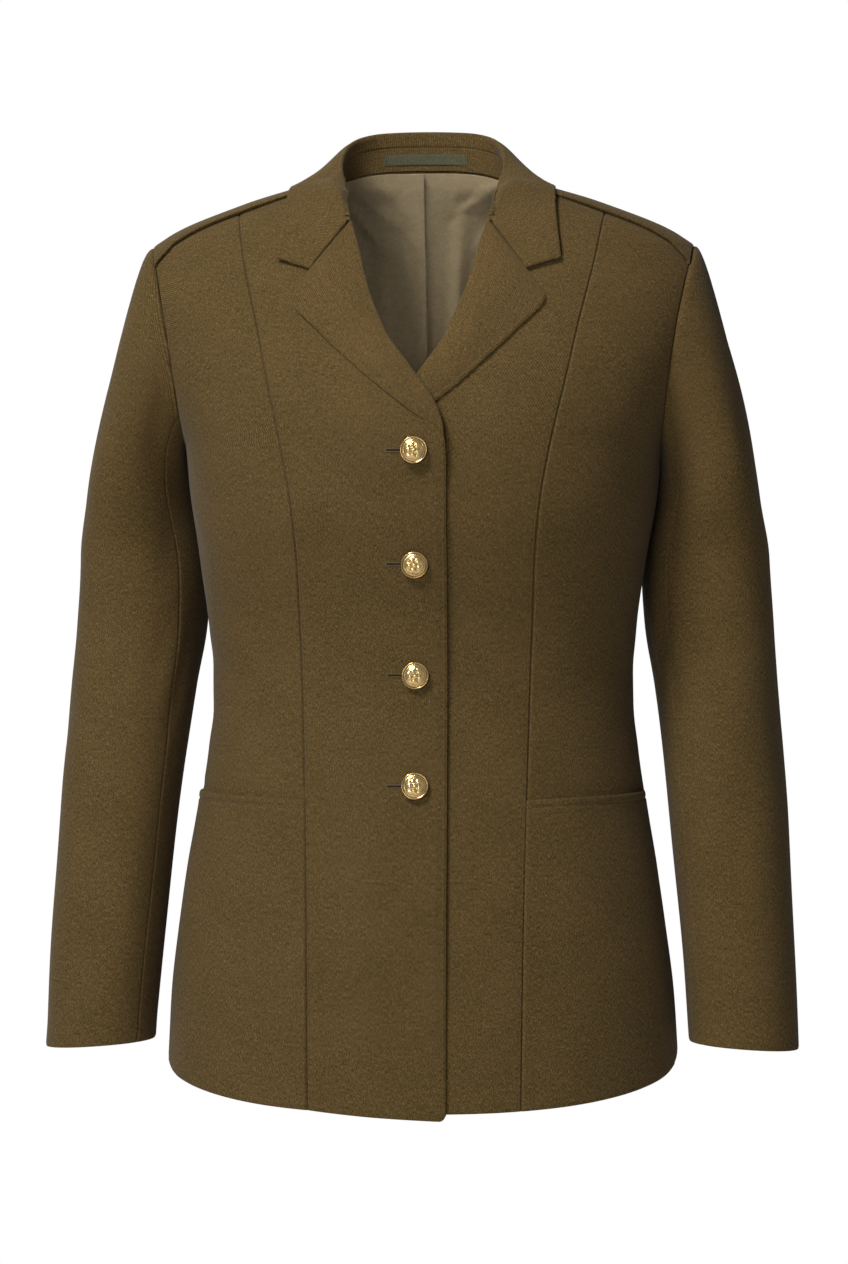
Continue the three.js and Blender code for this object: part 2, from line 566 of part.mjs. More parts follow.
// Moves a point of the collar out along the body's normal until it clears the front, or the
// shoulder strap that runs under it.
function clearOfBody(p) {
  const x = Math.abs(p.x);
  const onTop = 1 - ramp(36, 60, Math.abs(p.y));
  const lift = lerp(ON_CHEST + 0.7 + 3.4 * onTop, 7.4, ramp(64, 78, x) * (1 - ramp(24, 36, Math.abs(p.y))));
  const z = Math.min(p.z, shoulderZ(x));
  if (p.z > z && (Math.abs(p.y) > 18 || x < NECK_X)) return p;
  const turn = turnAt(Math.min(x, side(z)), z, p.y > 0);
  const [on, normal] = [onBody(turn, z), bodyNormal(turn, z)];
  if (p.x < 0) for (const v of [on, normal]) v.x = -v.x;
  const off = p.clone().sub(on).dot(normal);
  return off < lift ? p.addScaledVector(normal, lift - off) : p;
}
function inside(u, share) {
  const t = (u + 1) / 2;
  const [neck, fold] = [NECK.getPoint(t), FOLD.getPoint(t)];
  const point = neck.clone().lerp(fold, share);
  const inward = new THREE.Vector3(-fold.x, -fold.y * 0.6, 0).normalize();
  return point.addScaledVector(inward, lerp(1.6, 3.4, ramp(0.6, 1, Math.abs(u))));
}
{
  const us = Array.from({ length: COLLAR_COLS + 1 }, (_, j) => (j / COLLAR_COLS) * 2 - 1);
  const rows = [
    us.map((u) => inside(u * 0.995, STAND_SHARE).addScaledVector(new THREE.Vector3(0, 0, 1), 0.4)),
    us.map((u) => inside(u * 0.995, (STAND_SHARE + 1) / 2)),
    ...collarRows.map((w) => us.map((u) => clearOfBody(collarFall(u * 0.995, w)))),
  ];
  wall("collar", rows.reverse(), null, FACED, WOOL, false);
  const us2 = Array.from({ length: 15 }, (_, j) => ((j / 14) * 2 - 1) * 0.64);
  const band = [0.06, 0.3, STAND_SHARE].map((share, i) =>
    us2.map((u) => inside(u, share).addScaledVector(new THREE.Vector3(0, 0, 1), i === 2 ? -0.3 : 0.4)),
  );
  wall("collar_stand", band.reverse(), null, CLOTH, WOOL, false);
  // The blank hanger label is a strip on the stand, inside the centre back.
  const strip = [LABEL.top, LABEL.bottom].map((share) =>
    Array.from({ length: 9 }, (_, j) => {
      const point = inside(((j / 8) * 2 - 1) * LABEL.half, share);
      return point.addScaledVector(new THREE.Vector3(-point.x, -point.y, 0).normalize(), CLOTH + 0.3);
    }),
  );
  wall("hanger_label", strip, null, LABEL.thick, TAPE, false);
}

// ---------------------------------------------------------------- sleeves
// The armhole seam, from the shoulder point (0) down the front to the underarm (180) and up the back.
const ARMHOLE_STEPS = 80;
function armholeCurve(back) {
  const line = [];
  for (let i = 0; i <= ARMHOLE_STEPS; i++) {
    // steps crowd together at both ends, where the seam turns fastest
    const t = (1 - Math.cos((i / ARMHOLE_STEPS) * Math.PI)) / 2;
    const z = lerp(SHOULDER_Z, UNDERARM_Z, t);
    line.push(new THREE.Vector3(side(z), (back ? 1 : -1) * armholeDepth(z, back), z));
  }
  return new THREE.CatmullRomCurve3(line);
}
const ARMHOLE = { front: armholeCurve(false), back: armholeCurve(true) };
function armholeAt(round) {
  const front = round <= 180;
  const share = front ? round / 180 : (360 - round) / 180;
  return (front ? ARMHOLE.front : ARMHOLE.back).getPointAt(Math.min(share, 1));
}
const sleeveColumn = (key) => column(SLEEVE, key);
const ARM = Object.fromEntries(["x", "y", "wide", "deep", "lean"].map((k) => [k, sleeveColumn(k)]));
const ARM_TOP_Z = SLEEVE[0].z;
const ARM_END_Z = SLEEVE[SLEEVE.length - 1].z;
function armAt(round, z) {
  const a = (round * Math.PI) / 180;
  const n = 2.2;
  const [c, s] = [Math.cos(a), Math.sin(a)];
  const r = (Math.abs(c) ** n + Math.abs(s) ** n) ** (-1 / n);
  const across = ARM.wide(z) * r * c;
  const along = -ARM.deep(z) * r * s;
  const tilt = CUFF_TILT * across * (1 - ramp(ARM_END_Z, -520, z));
  return new THREE.Vector3(ARM.x(z) + across - ARM.lean(z) * along, ARM.y(z) + along, z - tilt);
}
// The cap is a bundle of curves that leave the armhole outwards and end pointing down the arm. At the
// shoulder it rises over the seam, where the sleeve head is eased in over its wadding.
const HEAD = { rise: 4, at: 0.1 };
function capAt(round, t) {
  const under = (1 - Math.cos((round * Math.PI) / 180)) / 2; // 0 at the shoulder point, 1 underarm
  const seam = armholeAt(round);
  const start = seam.clone().add(new THREE.Vector3(1.8, 0, lerp(1.4, 0.8, under)));
  const end = armAt(round, ARM_TOP_Z);
  const reach = start.distanceTo(end);
  const out = new THREE.Vector3(1, seam.y * 0.004, lerp(0.5, -0.25, under)).normalize();
  const leave = out.multiplyScalar(Math.min(reach, 62) * lerp(0.62, 0.6, under));
  const down = armAt(round, ARM_TOP_Z - 2).sub(end).normalize();
  const arrive = down.multiplyScalar(reach * lerp(1.3, 1, under));
  const [t2, t3] = [t * t, t * t * t];
  const point = start
    .multiplyScalar(2 * t3 - 3 * t2 + 1)
    .addScaledVector(leave, t3 - 2 * t2 + t)
    .addScaledVector(end, -2 * t3 + 3 * t2)
    .addScaledVector(arrive, t3 - t2);
  point.z += HEAD.rise * (1 - under) ** 3 * (t / HEAD.at) * Math.exp(1 - t / HEAD.at);
  return point;
}
function sleevePoint(turn, v) {
  const round = ((turn % 360) + 360) % 360;
  const share = CAP_RINGS / (CAP_RINGS + ARM_RINGS);
  if (v <= share) return capAt(round, (v / share) ** CAP_CROWDING);
  return armAt(round, lerp(ARM_TOP_Z, ARM_END_Z, (v - share) / (1 - share)));
}
function sleevePiece(name, from, to, cols, s) {
  const gap = 0.35;
  const rows = CAP_RINGS + ARM_RINGS;
  // rows run from the cuff up, so that the wall's outer face points out
  const points = grid(rows, cols, (u, v) => sleevePoint(lerp(from + gap, to - gap, 1 - u), 1 - v));
  const normals = grid(rows, cols, (u, v) => {
    const round = lerp(from + gap, to - gap, 1 - u);
    const e = 0.02;
    const across = sleevePoint(round - 1, 1 - v).sub(sleevePoint(round + 1, 1 - v));
    const [hi, lo] = [Math.max(1 - v - e, 0), Math.min(1 - v + e, 1)];
    const up = sleevePoint(round, hi).sub(sleevePoint(round, lo));
    return across.cross(up).normalize();
  });
  wall(name, points, normals, CLOTH, WOOL, s < 0);
}
for (const [word, s] of SIDES) {
  sleevePiece(`top_sleeve_${word}`, SLEEVE_BACK_SEAM - 360, SLEEVE_FRONT_SEAM, 8, s);
  sleevePiece(`under_sleeve_${word}`, SLEEVE_FRONT_SEAM, SLEEVE_BACK_SEAM, 6, s);
}

// ---------------------------------------------------------------- shoulder straps
// The body's surface over the shoulder, at a distance across and front to back.
function overShoulder(x, y, lift) {
  let [low, high] = [shoulderZ(x) - 90, shoulderZ(x)];
  for (let i = 0; i < 40; i++) {
    const mid = (low + high) / 2;
    const at = Math.abs(onBody(turnAt(x, mid, y > 0), mid).y);
    if (at > Math.abs(y)) low = mid;
    else high = mid;
  }
  const turn = turnAt(x, high, y > 0);
  return onBody(turn, high).addScaledVector(bodyNormal(turn, high), lift);
}
const STRAP_LIFT = ON_CHEST + 0.5;
for (const [word, s] of SIDES) {
  const points = grid(8, 8, (u, v) => {
    const half = lerp(STRAP.outer, STRAP.inner, u) / 2;
    const y = lerp(-half, half, v);
    const armhole = STRAP.seamX - 0.0032 * y * y;
    const tip = STRAP.innerX + STRAP.point * (Math.abs(y) / half) ** 1.5 * (u > 0.99 ? 1 : 0);
    return overShoulder(lerp(armhole, tip, u), y, STRAP_LIFT);
  });
  wall(`shoulder_strap_${word}`, points, null, FACED, WOOL, s < 0);
}

// ---------------------------------------------------------------- back lining and label
const PLEAT_LAP = 2.0; // the wearer's right half of the lining lies over the left by this
const LINING_IN = 4.2; // from the body's surface in to the lining
for (const [word, s] of SIDES) {
  const centre = s > 0 ? -PLEAT : 1.5;
  panel(`back_lining_${word}`, {
    left: SEAMS.backPrincess,
    right: (v) => place(centre, level(v, hemZ(180), NAPE_Z - 3), true),
    by: "x",
    back: true,
    cols: 6,
    top: (u) => {
      const t = backTopAt(lerp(PRINCESS_TOP, centre, u));
      return { x: t.x, z: t.z - 3 };
    },
    lift: (p) => -LINING_IN - (s < 0 ? PLEAT_LAP * (1 - ramp(8, 34, onBody(p.turn, p.z).x)) : 0),
    s,
    hem: 25,
    wallOf: LINING,
    finish: SATIN,
  });
}

// ---------------------------------------------------------------- buttons
const BUTTON_PROFILE = [
  { r: 0, h: 0 },
  { r: 2.5, h: 0 },
  { r: 2.5, h: 1.3 },
  { r: 8.4, h: 1.4 },
  { r: 9.5, h: 2.1 },
  { r: BUTTON_R, h: 2.8 },
  { r: 9.0, h: 3.3 },
  { r: 8.3, h: 3.1 },
  { r: 6.4, h: 4.1 },
  { r: 3.4, h: 4.9 },
  { r: 0, h: 5.2 },
];
for (let i = 0; i < BUTTON_COUNT; i++) {
  const z = BUTTON_TOP_Z - i * BUTTON_STEP;
  const lathe = new THREE.LatheGeometry(BUTTON_PROFILE.map((p) => new THREE.Vector2(p.r, p.h)), 20);
  lathe.deleteAttribute("uv");
  lathe.deleteAttribute("normal");
  const geometry = mergeVertices(lathe, 1e-3);
  const normal = bodyNormal(0, z);
  geometry.applyQuaternion(new THREE.Quaternion().setFromUnitVectors(new THREE.Vector3(0, 1, 0), normal));
  const seat = lifted(0, z, overlapLift({ turn: 0, z }, -1) + CLOTH / 2 + 0.7);
  geometry.translate(seat.x, seat.y, seat.z);
  geometry.computeVertexNormals();
  add(`button_${i + 1}`, geometry, GILT);
}

export default group;
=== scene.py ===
# %% [markdown]
# A women's military dress tunic, kept in the form it has when it is worn, with nothing inside it.
# A tailored jacket is a shell of cut pieces, so the lesson drafts it the way a cutter does: one body
# surface made of level sections, seam lines drawn on that surface, and a panel of cloth between each
# pair of seams. Every panel then gets its thickness, its rolled seam edges and its creases.
# The draft is in millimetres, as on a cutting table. Blender works in metres, so MM turns one into
# the other when a mesh is made. +Z is up, +X is the wearer's left and -Y is the front.

# %% Load the frame
import math
import bpy
import numpy as np
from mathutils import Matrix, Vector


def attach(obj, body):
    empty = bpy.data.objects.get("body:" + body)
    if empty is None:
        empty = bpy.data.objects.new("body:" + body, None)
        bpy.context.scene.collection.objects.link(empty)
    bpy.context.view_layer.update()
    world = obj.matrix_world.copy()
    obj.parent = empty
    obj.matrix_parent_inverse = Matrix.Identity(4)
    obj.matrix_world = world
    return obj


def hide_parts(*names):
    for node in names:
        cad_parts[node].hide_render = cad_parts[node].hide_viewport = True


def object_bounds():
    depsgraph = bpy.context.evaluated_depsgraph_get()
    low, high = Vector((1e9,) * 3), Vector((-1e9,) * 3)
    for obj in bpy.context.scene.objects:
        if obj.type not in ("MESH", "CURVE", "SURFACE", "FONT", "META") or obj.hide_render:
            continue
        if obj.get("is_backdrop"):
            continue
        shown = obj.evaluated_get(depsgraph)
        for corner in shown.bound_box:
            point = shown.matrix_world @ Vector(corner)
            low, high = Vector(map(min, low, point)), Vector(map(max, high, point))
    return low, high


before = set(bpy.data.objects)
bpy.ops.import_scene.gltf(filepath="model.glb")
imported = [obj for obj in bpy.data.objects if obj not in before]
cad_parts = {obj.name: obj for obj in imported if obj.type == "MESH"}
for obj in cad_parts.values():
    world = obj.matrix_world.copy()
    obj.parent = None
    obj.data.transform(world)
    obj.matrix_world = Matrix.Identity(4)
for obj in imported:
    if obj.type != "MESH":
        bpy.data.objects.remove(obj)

cad_low, cad_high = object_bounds()
MM = 0.001
print("CAD box", [round(x, 3) for x in cad_low], [round(x, 3) for x in cad_high])

# %% [markdown]
# The camera comes first, because everything else is judged through it. It stands three metres away,
# level with the waist and a little to the wearer's left, with a long lens, so that the tunic is drawn
# almost without perspective, as in a catalogue.

# %% Camera
CAMERA_AWAY = 3.0
CAMERA_TURN = math.radians(2.9)
CAMERA_AIM = (0.0005, 0.0, -0.33)
bpy.ops.object.camera_add(
    location=(
        CAMERA_AIM[0] + CAMERA_AWAY * math.sin(CAMERA_TURN),
        CAMERA_AIM[1] - CAMERA_AWAY * math.cos(CAMERA_TURN),
        CAMERA_AIM[2],
    ),
    rotation=(math.pi / 2, 0, CAMERA_TURN),
)
camera = bpy.context.object
camera.name = "camera"
camera.data.lens = 116.4
camera.data.sensor_width = 36
bpy.context.scene.camera = camera
print("camera at", [round(x, 3) for x in camera.location])

# %% [markdown]
# A studio for cloth has one large soft light, high and to one side, and a bright surround that fills
# the shadows. The surround is seen as white, mirrored in the gilt as grey, and lights the cloth less
# than it shows, or the tunic
# would look flat. A narrow beam opens up the lining inside the neck. The floor is a pale disc well
# below the hem, because the wearer holds the tunic up.

# %% Light, surround and floor
KEY_POWER = 70
FILL_POWER = 18
RIM_POWER = 14
NECK_POWER, NECK_BEAM = 0.018, math.radians(14)
SURROUND_LIGHT, SURROUND_GLEAM = 0.1, 0.36
FLOOR_Z = -1.3


def area_light(name, place, aim, power, size):
    """A square soft light at place, facing the point aim."""
    bpy.ops.object.light_add(type="AREA", location=place)
    light = bpy.context.object
    light.name = name
    light.data.energy = power
    light.data.size = size
    away = np.array(place) - np.array(aim)
    light.rotation_euler = (
        math.atan2(math.hypot(away[0], away[1]), away[2]),
        0,
        math.atan2(away[0], -away[1]),
    )
    return light


area_light("key_light", (-1.25, -1.65, 2.15), (-0.03, 0, -0.22), KEY_POWER, 0.9)
area_light("fill_light", (-0.75, -2.95, -0.1), (0, 0, -0.25), FILL_POWER, 1.0)
area_light("rim_light", (-1.3, 1.9, 1.5), (0, 0, -0.2), RIM_POWER, 1.2)
neck_light = area_light("neck_light", (0.3, -1.3, 0.2), (-0.015, 0.05, -0.1), NECK_POWER, 0.12)
neck_light.data.spread = NECK_BEAM

world = bpy.data.worlds.new("surround")
bpy.context.scene.world = world
world.use_nodes = True
w_nodes, w_links = world.node_tree.nodes, world.node_tree.links
w_nodes.clear()
seen, lit = w_nodes.new("ShaderNodeBackground"), w_nodes.new("ShaderNodeBackground")
seen.inputs["Strength"].default_value = 1.0
seen.inputs["Color"].default_value = (1, 1, 1, 1)
lit.inputs["Strength"].default_value = SURROUND_LIGHT
lit.inputs["Color"].default_value = (1, 0.985, 0.96, 1)
ray, choose = w_nodes.new("ShaderNodeLightPath"), w_nodes.new("ShaderNodeMixShader")
w_out = w_nodes.new("ShaderNodeOutputWorld")
w_links.new(ray.outputs["Is Camera Ray"], choose.inputs[0])
gleam, reflect = w_nodes.new("ShaderNodeBackground"), w_nodes.new("ShaderNodeMixShader")
gleam.inputs["Strength"].default_value = SURROUND_GLEAM
w_links.new(ray.outputs["Is Glossy Ray"], reflect.inputs[0])
w_links.new(lit.outputs[0], reflect.inputs[1])
w_links.new(gleam.outputs[0], reflect.inputs[2])
w_links.new(reflect.outputs[0], choose.inputs[1])
w_links.new(seen.outputs[0], choose.inputs[2])
w_links.new(choose.outputs[0], w_out.inputs["Surface"])
bpy.context.scene.view_settings.view_transform = "Standard"

bpy.ops.object.select_all(action="DESELECT")
bpy.ops.mesh.primitive_circle_add(vertices=96, radius=2.4, fill_type="NGON", location=(0, 0, FLOOR_Z))
floor = bpy.context.object
floor.name = "floor"
floor_paint = bpy.data.materials.new("pale_floor")
floor_paint.use_nodes = True
floor_paint.node_tree.nodes["Principled BSDF"].inputs["Base Color"].default_value = (0.86, 0.86, 0.85, 1)
floor_paint.node_tree.nodes["Principled BSDF"].inputs["Roughness"].default_value = 0.9
floor.data.materials.append(floor_paint)
floor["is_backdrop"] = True

# %% [markdown]
# The body is given by level sections: half its width, its depth in front and behind, and how square
# the section is. A smooth curve runs through each column of the table. It never overshoots between
# two rows, so the waist stays a waist and no ripple appears that nobody drew.

# %% Body sections
UNDERARM_Z, SHOULDER_Z, NECK_X, NAPE_Z = -194, -52, 69, 13
HEM_Z, HEM_DIP, OVER_FRONT_DROP = -634, 0.26, 5
CLOTH, FACED, LINING = 1.6, 2.2, 1.0


def rows(names, *values):
    """A table: one dictionary for each row of values, with the column names given first."""
    return [dict(zip(names.split(), v)) for v in values]


BODY = rows(
    "z side front back square",
    (-690, 189.0, 136, 124, 2.3),
    (-635, 185.5, 133, 122, 2.3),
    (-591, 182.6, 130, 120, 2.3),
    (-547, 177.3, 127, 117, 2.3),
    (-503, 171.0, 122, 111, 2.3),
    (-459, 163.2, 116, 102, 2.3),
    (-415, 156.5, 110, 92, 2.3),
    (-371, 153.0, 107, 86, 2.3),
    (-327, 155.5, 110, 87, 2.35),
    (-282, 161.5, 119, 93, 2.45),
    (-238, 168.0, 127, 99, 2.5),
    (-194, 173.0, 126, 103, 2.45),
    (-150, 178.0, 115, 104, 2.35),
    (-106, 185.0, 97, 98, 2.25),
    (-78, 191.0, 82, 89, 2.2),
    (-52, 196.0, 66, 77, 2.15),
    (-45, 188.0, 62, 73.5, 2.15),
    (-37.5, 175.0, 57.5, 69.5, 2.15),
    (-22.5, 137.5, 49, 61, 2.1),
    (-9, 98.0, 42, 54, 2.1),
    (0, 69.0, 38, 50, 2.1),
    (16, 66.5, 35, 44.5, 2.1),
)


def column(table, key, along="z"):
    """A smooth curve through one column of a table, with no overshoot between its rows."""
    ordered = sorted(table, key=lambda row: row[along])
    z = np.array([row[along] for row in ordered], float)
    y = np.array([row[key] for row in ordered], float)
    slope = np.diff(y) / np.diff(z)
    before, after = slope[:-1], slope[1:]
    total = np.where(before + after == 0, 1, before + after)
    middle = np.where(before * after > 0, 2 * before * after / total, 0)
    tangent = np.concatenate([slope[:1], middle, slope[-1:]])

    def at(place):
        place = np.clip(place, z[0], z[-1])
        i = np.clip(np.searchsorted(z, place, side="right") - 1, 0, len(z) - 2)
        h = z[i + 1] - z[i]
        t = (place - z[i]) / h
        s = 1 - t
        low = y[i] * (1 + 2 * t) * s * s + tangent[i] * h * t * s * s
        return low + y[i + 1] * (1 + 2 * s) * t * t - tangent[i + 1] * h * s * t * t

    return at


side, square = column(BODY, "side"), column(BODY, "square")
front_depth, back_depth = column(BODY, "front"), column(BODY, "back")


def lerp(a, b, t):
    return a + (b - a) * t


def ramp(a, b, x):
    """Rises smoothly from 0 at a to 1 at b."""
    t = np.clip((x - a) / (b - a), 0, 1)
    return t * t * (3 - 2 * t)


def armhole_depth(z, back):
    """Half the depth of the armhole, in front of or behind the shoulder line, at each level."""
    t = np.clip((z - UNDERARM_Z) / (SHOULDER_Z - UNDERARM_Z), 0, 1)
    return np.where(back, 58, 51) * 1.99 * t**0.45 * (1 - t) ** 0.55


def section(z, back):
    """Half width, half depth and squareness. Beside the armhole the section passes through its seam."""
    n = square(z)
    b = np.where(back, back_depth(z), front_depth(z))
    return side(z) / (1 - (armhole_depth(z, back) / b) ** n) ** (1 / n), b, n


def on_body(turn, z):
    """The body's surface at a turn (degrees, 0 centre front, 90 side, 180 centre back) and level."""
    turn, z = np.broadcast_arrays(np.asarray(turn, float), np.asarray(z, float))
    a, b, n = section(z, turn > 90)
    s, c = np.sin(np.radians(turn)), np.cos(np.radians(turn))
    r = (np.abs(s / a) ** n + np.abs(c / b) ** n) ** (-1 / n)
    return np.stack([r * s, -r * c, z], -1)


def unit(v):
    return v / np.maximum(np.linalg.norm(v, axis=-1, keepdims=True), 1e-9)


def body_normal(turn, z):
    turn, z = np.broadcast_arrays(np.asarray(turn, float), np.asarray(z, float))
    e = 0.05
    low = np.where(turn > 90, turn, turn - 2 * e)
    across = on_body(low + 2 * e, z) - on_body(low, z)
    return unit(np.cross(across, on_body(turn, z + 4 * e) - on_body(turn, z - 4 * e)))


def lifted(turn, z, lift):
    return on_body(turn, z) + body_normal(turn, z) * np.asarray(lift)[..., None]


def turn_at(x, z, back):
    """The turn at which the section lies at x."""
    a, b, n = section(z, back)
    t = np.minimum(np.abs(x) / a, 1)
    turn = np.degrees(np.arctan2(x, b * (1 - t**n) ** (1 / n)))
    return np.where(back, 180 - turn, turn)


FINE_Z = np.linspace(SHOULDER_Z, 0, 2001)
FINE_SIDE = side(FINE_Z)


def shoulder_z(x):
    """The level of the shoulder seam at x."""
    return np.interp(x, FINE_SIDE[::-1], FINE_Z[::-1])


def hem_z(turn):
    return HEM_Z + HEM_DIP * np.minimum(on_body(turn, HEM_Z)[..., 1], 0)


print("waist", round(4 * float(side(-371))), "mm of width in all, hem", round(4 * float(side(-634))))

# %% [markdown]
# Seams are drawn on the body as distances from the centre line. A panel is then a grid of points
# between two seams. Its columns crowd together near the seams, because that is where cloth bends
# most sharply, and its rows are about four millimetres apart.

# %% Seam lines
OUT = "z out"
FRONT_EDGE = rows(
    OUT, (-690, -22.4), (-300, -22.4), (-214, -22.4), (-200, -21.8), (-188, -20), (-175, -16),
    (-160, -7.5), (-140, 6.5), (-125, 17), (-107, 25.5), (-87, 33.5), (-56, 42), (-28, 50.5),
    (-12, 59.5), (0, 69),
)
FRONT_PRINCESS = rows(
    OUT, (-690, 75), (-547, 77), (-459, 78.7), (-371, 81), (-327, 82.7), (-282, 84.2),
    (-238, 88.2), (-194, 96.2), (-150, 106.3), (-106, 116), (-62, 126.4), (-21, 134),
)
BACK_PRINCESS = rows(
    OUT, (-690, 88), (-503, 70), (-371, 56), (-238, 74), (-150, 95), (-62, 122), (-21, 134)
)
SIDE_SEAM = rows("z turn", (-690, 79), (-560, 82), (-445, 89), (-371, 90), (-194, 90))
PRINCESS_TOP = 134
front_edge = column(FRONT_EDGE, "out")
front_princess = column(FRONT_PRINCESS, "out")
back_princess = column(BACK_PRINCESS, "out")
side_turn = column(SIDE_SEAM, "turn")
SKIRT_SHARE = 0.55


def level(v, hem, top):
    """The level of a seam at v (0 hem, 1 top), with the underarm at the same v on every seam."""
    skirt = lerp(hem, UNDERARM_Z, v / SKIRT_SHARE)
    yoke = lerp(UNDERARM_Z, top, 1 - np.maximum((1 - v) / (1 - SKIRT_SHARE), 0) ** 1.4)
    return np.where(v < SKIRT_SHARE, skirt, yoke)


def place(across, z, back):
    x = np.minimum(across, side(z))
    return {"x": x, "turn": turn_at(x, z, back), "z": z}


def side_and_armhole(v, back):
    z = level(v, hem_z(85), SHOULDER_Z)
    turn = np.degrees(np.arctan2(side(z), armhole_depth(z, back)))
    turn = np.where(back, 180 - turn, turn)
    return {"turn": np.where(z <= UNDERARM_Z, side_turn(z), turn), "z": z}


def seam_front_edge(v):
    z = level(v, hem_z(0), 0)
    tucked = EDGE_TUCK * ramp(-186, -166, z)  # above the break the edge is hidden inside the roll
    return place(front_edge(z) + tucked, z, False)


def seam_front_princess(v):
    z = level(v, hem_z(30), shoulder_z(PRINCESS_TOP))
    return place(front_princess(z), z, False)


def seam_back_princess(v):
    z = level(v, hem_z(150), shoulder_z(PRINCESS_TOP))
    return place(back_princess(z), z, True)


def seam_centre_back(v):
    return place(0 * v, level(v, hem_z(180), NAPE_Z), True)


def seam_front_side(v):
    return side_and_armhole(v, False)


def seam_back_side(v):
    return side_and_armhole(v, True)


EDGE_TUCK = 1.4
SEAM_INSET = 0.05


def panel_spots(left, right, by, us, vs, back=False, top=None):
    """Turn, level and shares of every grid point of a panel between two seams."""
    u, v = np.meshgrid(us, vs)
    l, r = left(v), right(v)
    one, zero = np.ones(1), np.zeros(1)
    tl, tr, bl, br = left(one), right(one), left(zero), right(zero)
    t = top(u) if top else {by: lerp(tl[by], tr[by], u), "z": lerp(tl["z"], tr["z"], u)}
    low = lerp(bl[by], br[by], u)
    low_turn = turn_at(low, HEM_Z, back) if by == "x" else low
    at_top = v**3 * (t["z"] - lerp(tl["z"], tr["z"], u))
    at_hem = (1 - v) ** 3 * (hem_z(low_turn) - lerp(bl["z"], br["z"], u))
    z = lerp(l["z"], r["z"], u) + at_top + at_hem
    at = lerp(l[by], r[by], u) + v**3 * (t[by] - lerp(tl[by], tr[by], u))
    turn = turn_at(np.minimum(at, side(z)), z, back) if by == "x" else at
    return {"turn": turn, "z": z, "u": u, "v": v}


def crowded(width, near=(0, 0.3, 0.7, 1.1, 1.6, 2.1, 2.6, 3.2, 4.2), step=4.0):
    """Shares of a width in millimetres, crowded together at both ends."""
    inside = int(round((width - 2 * near[-1]) / step))
    middle = np.linspace(near[-1], width - near[-1], inside + 1)[1:-1]
    ends = np.array(near)
    return np.concatenate([ends, middle, width - ends[::-1]]) / width


ROWS_HIGH = np.concatenate([[0, 0.0012, 0.003, 0.006], np.linspace(0.01, 0.994, 150), [0.997, 0.9988, 1]])
print(len(ROWS_HIGH), "rows on each body panel")

# %% [markdown]
# A sewn seam never shows as a plain line. The two edges turn in to the seam allowance, which leaves a
# fine ditch, and a row of hand stitches beside it draws the cloth down a little. Both are added along
# the surface's own normal, by the distance of each point from the edge. Creases come the same way:
# each is a line of a given width and depth that fades out at both ends.

# %% Ditches, stitch rows and creases
DITCH = {"deep": 1.4, "wide": 0.75}
STITCH_ROW = {"in": 2.6, "deep": 0.16, "wide": 0.75}


def grid_normals(p):
    """Outward normals of a grid of points, rows upwards and columns to the right."""
    return unit(np.cross(np.gradient(p, axis=1), np.gradient(p, axis=0)))


def edge_distances(p):
    """Distance of every point from the grid's left, right, bottom and top edges, along the cloth."""
    across = np.linalg.norm(np.diff(p, axis=1), axis=-1)
    upward = np.linalg.norm(np.diff(p, axis=0), axis=-1)
    left = np.pad(np.cumsum(across, 1), ((0, 0), (1, 0)))
    low = np.pad(np.cumsum(upward, 0), ((1, 0), (0, 0)))
    return {"left": left, "right": left[:, -1:] - left, "low": low, "top": low[-1:] - low}


def ditch(d):
    return -DITCH["deep"] * np.exp(-((d / DITCH["wide"]) ** 2))


def stitch_groove(d, inward=STITCH_ROW["in"]):
    return -STITCH_ROW["deep"] * np.exp(-(((d - inward) / STITCH_ROW["wide"]) ** 2))


def rolled(d, deep=0.5, wide=0.9):
    """A folded edge is softly rounded: the surface falls away over its last millimetre."""
    return -deep * np.exp(-((d / wide) ** 2))


def crease(x, y, start, end, wide, deep):
    """One soft trough (deep under 0) or ridge along a line, fading out towards both ends."""
    start, end = np.array(start, float), np.array(end, float)
    run = end - start
    t = np.clip(((x - start[0]) * run[0] + (y - start[1]) * run[1]) / (run @ run), 0, 1)
    away = np.hypot(x - start[0] - t * run[0], y - start[1] - t * run[1])
    return deep * np.sin(math.pi * (0.08 + 0.84 * t)) ** 0.8 * np.exp(-((away / wide) ** 2))


def creases(table, x, y):
    total = np.zeros(np.broadcast(x, y).shape)
    for c in table:
        total += crease(x, y, c["start"], c["end"], c["wide"], c["deep"])
    return total


CREASE = "start end wide deep"
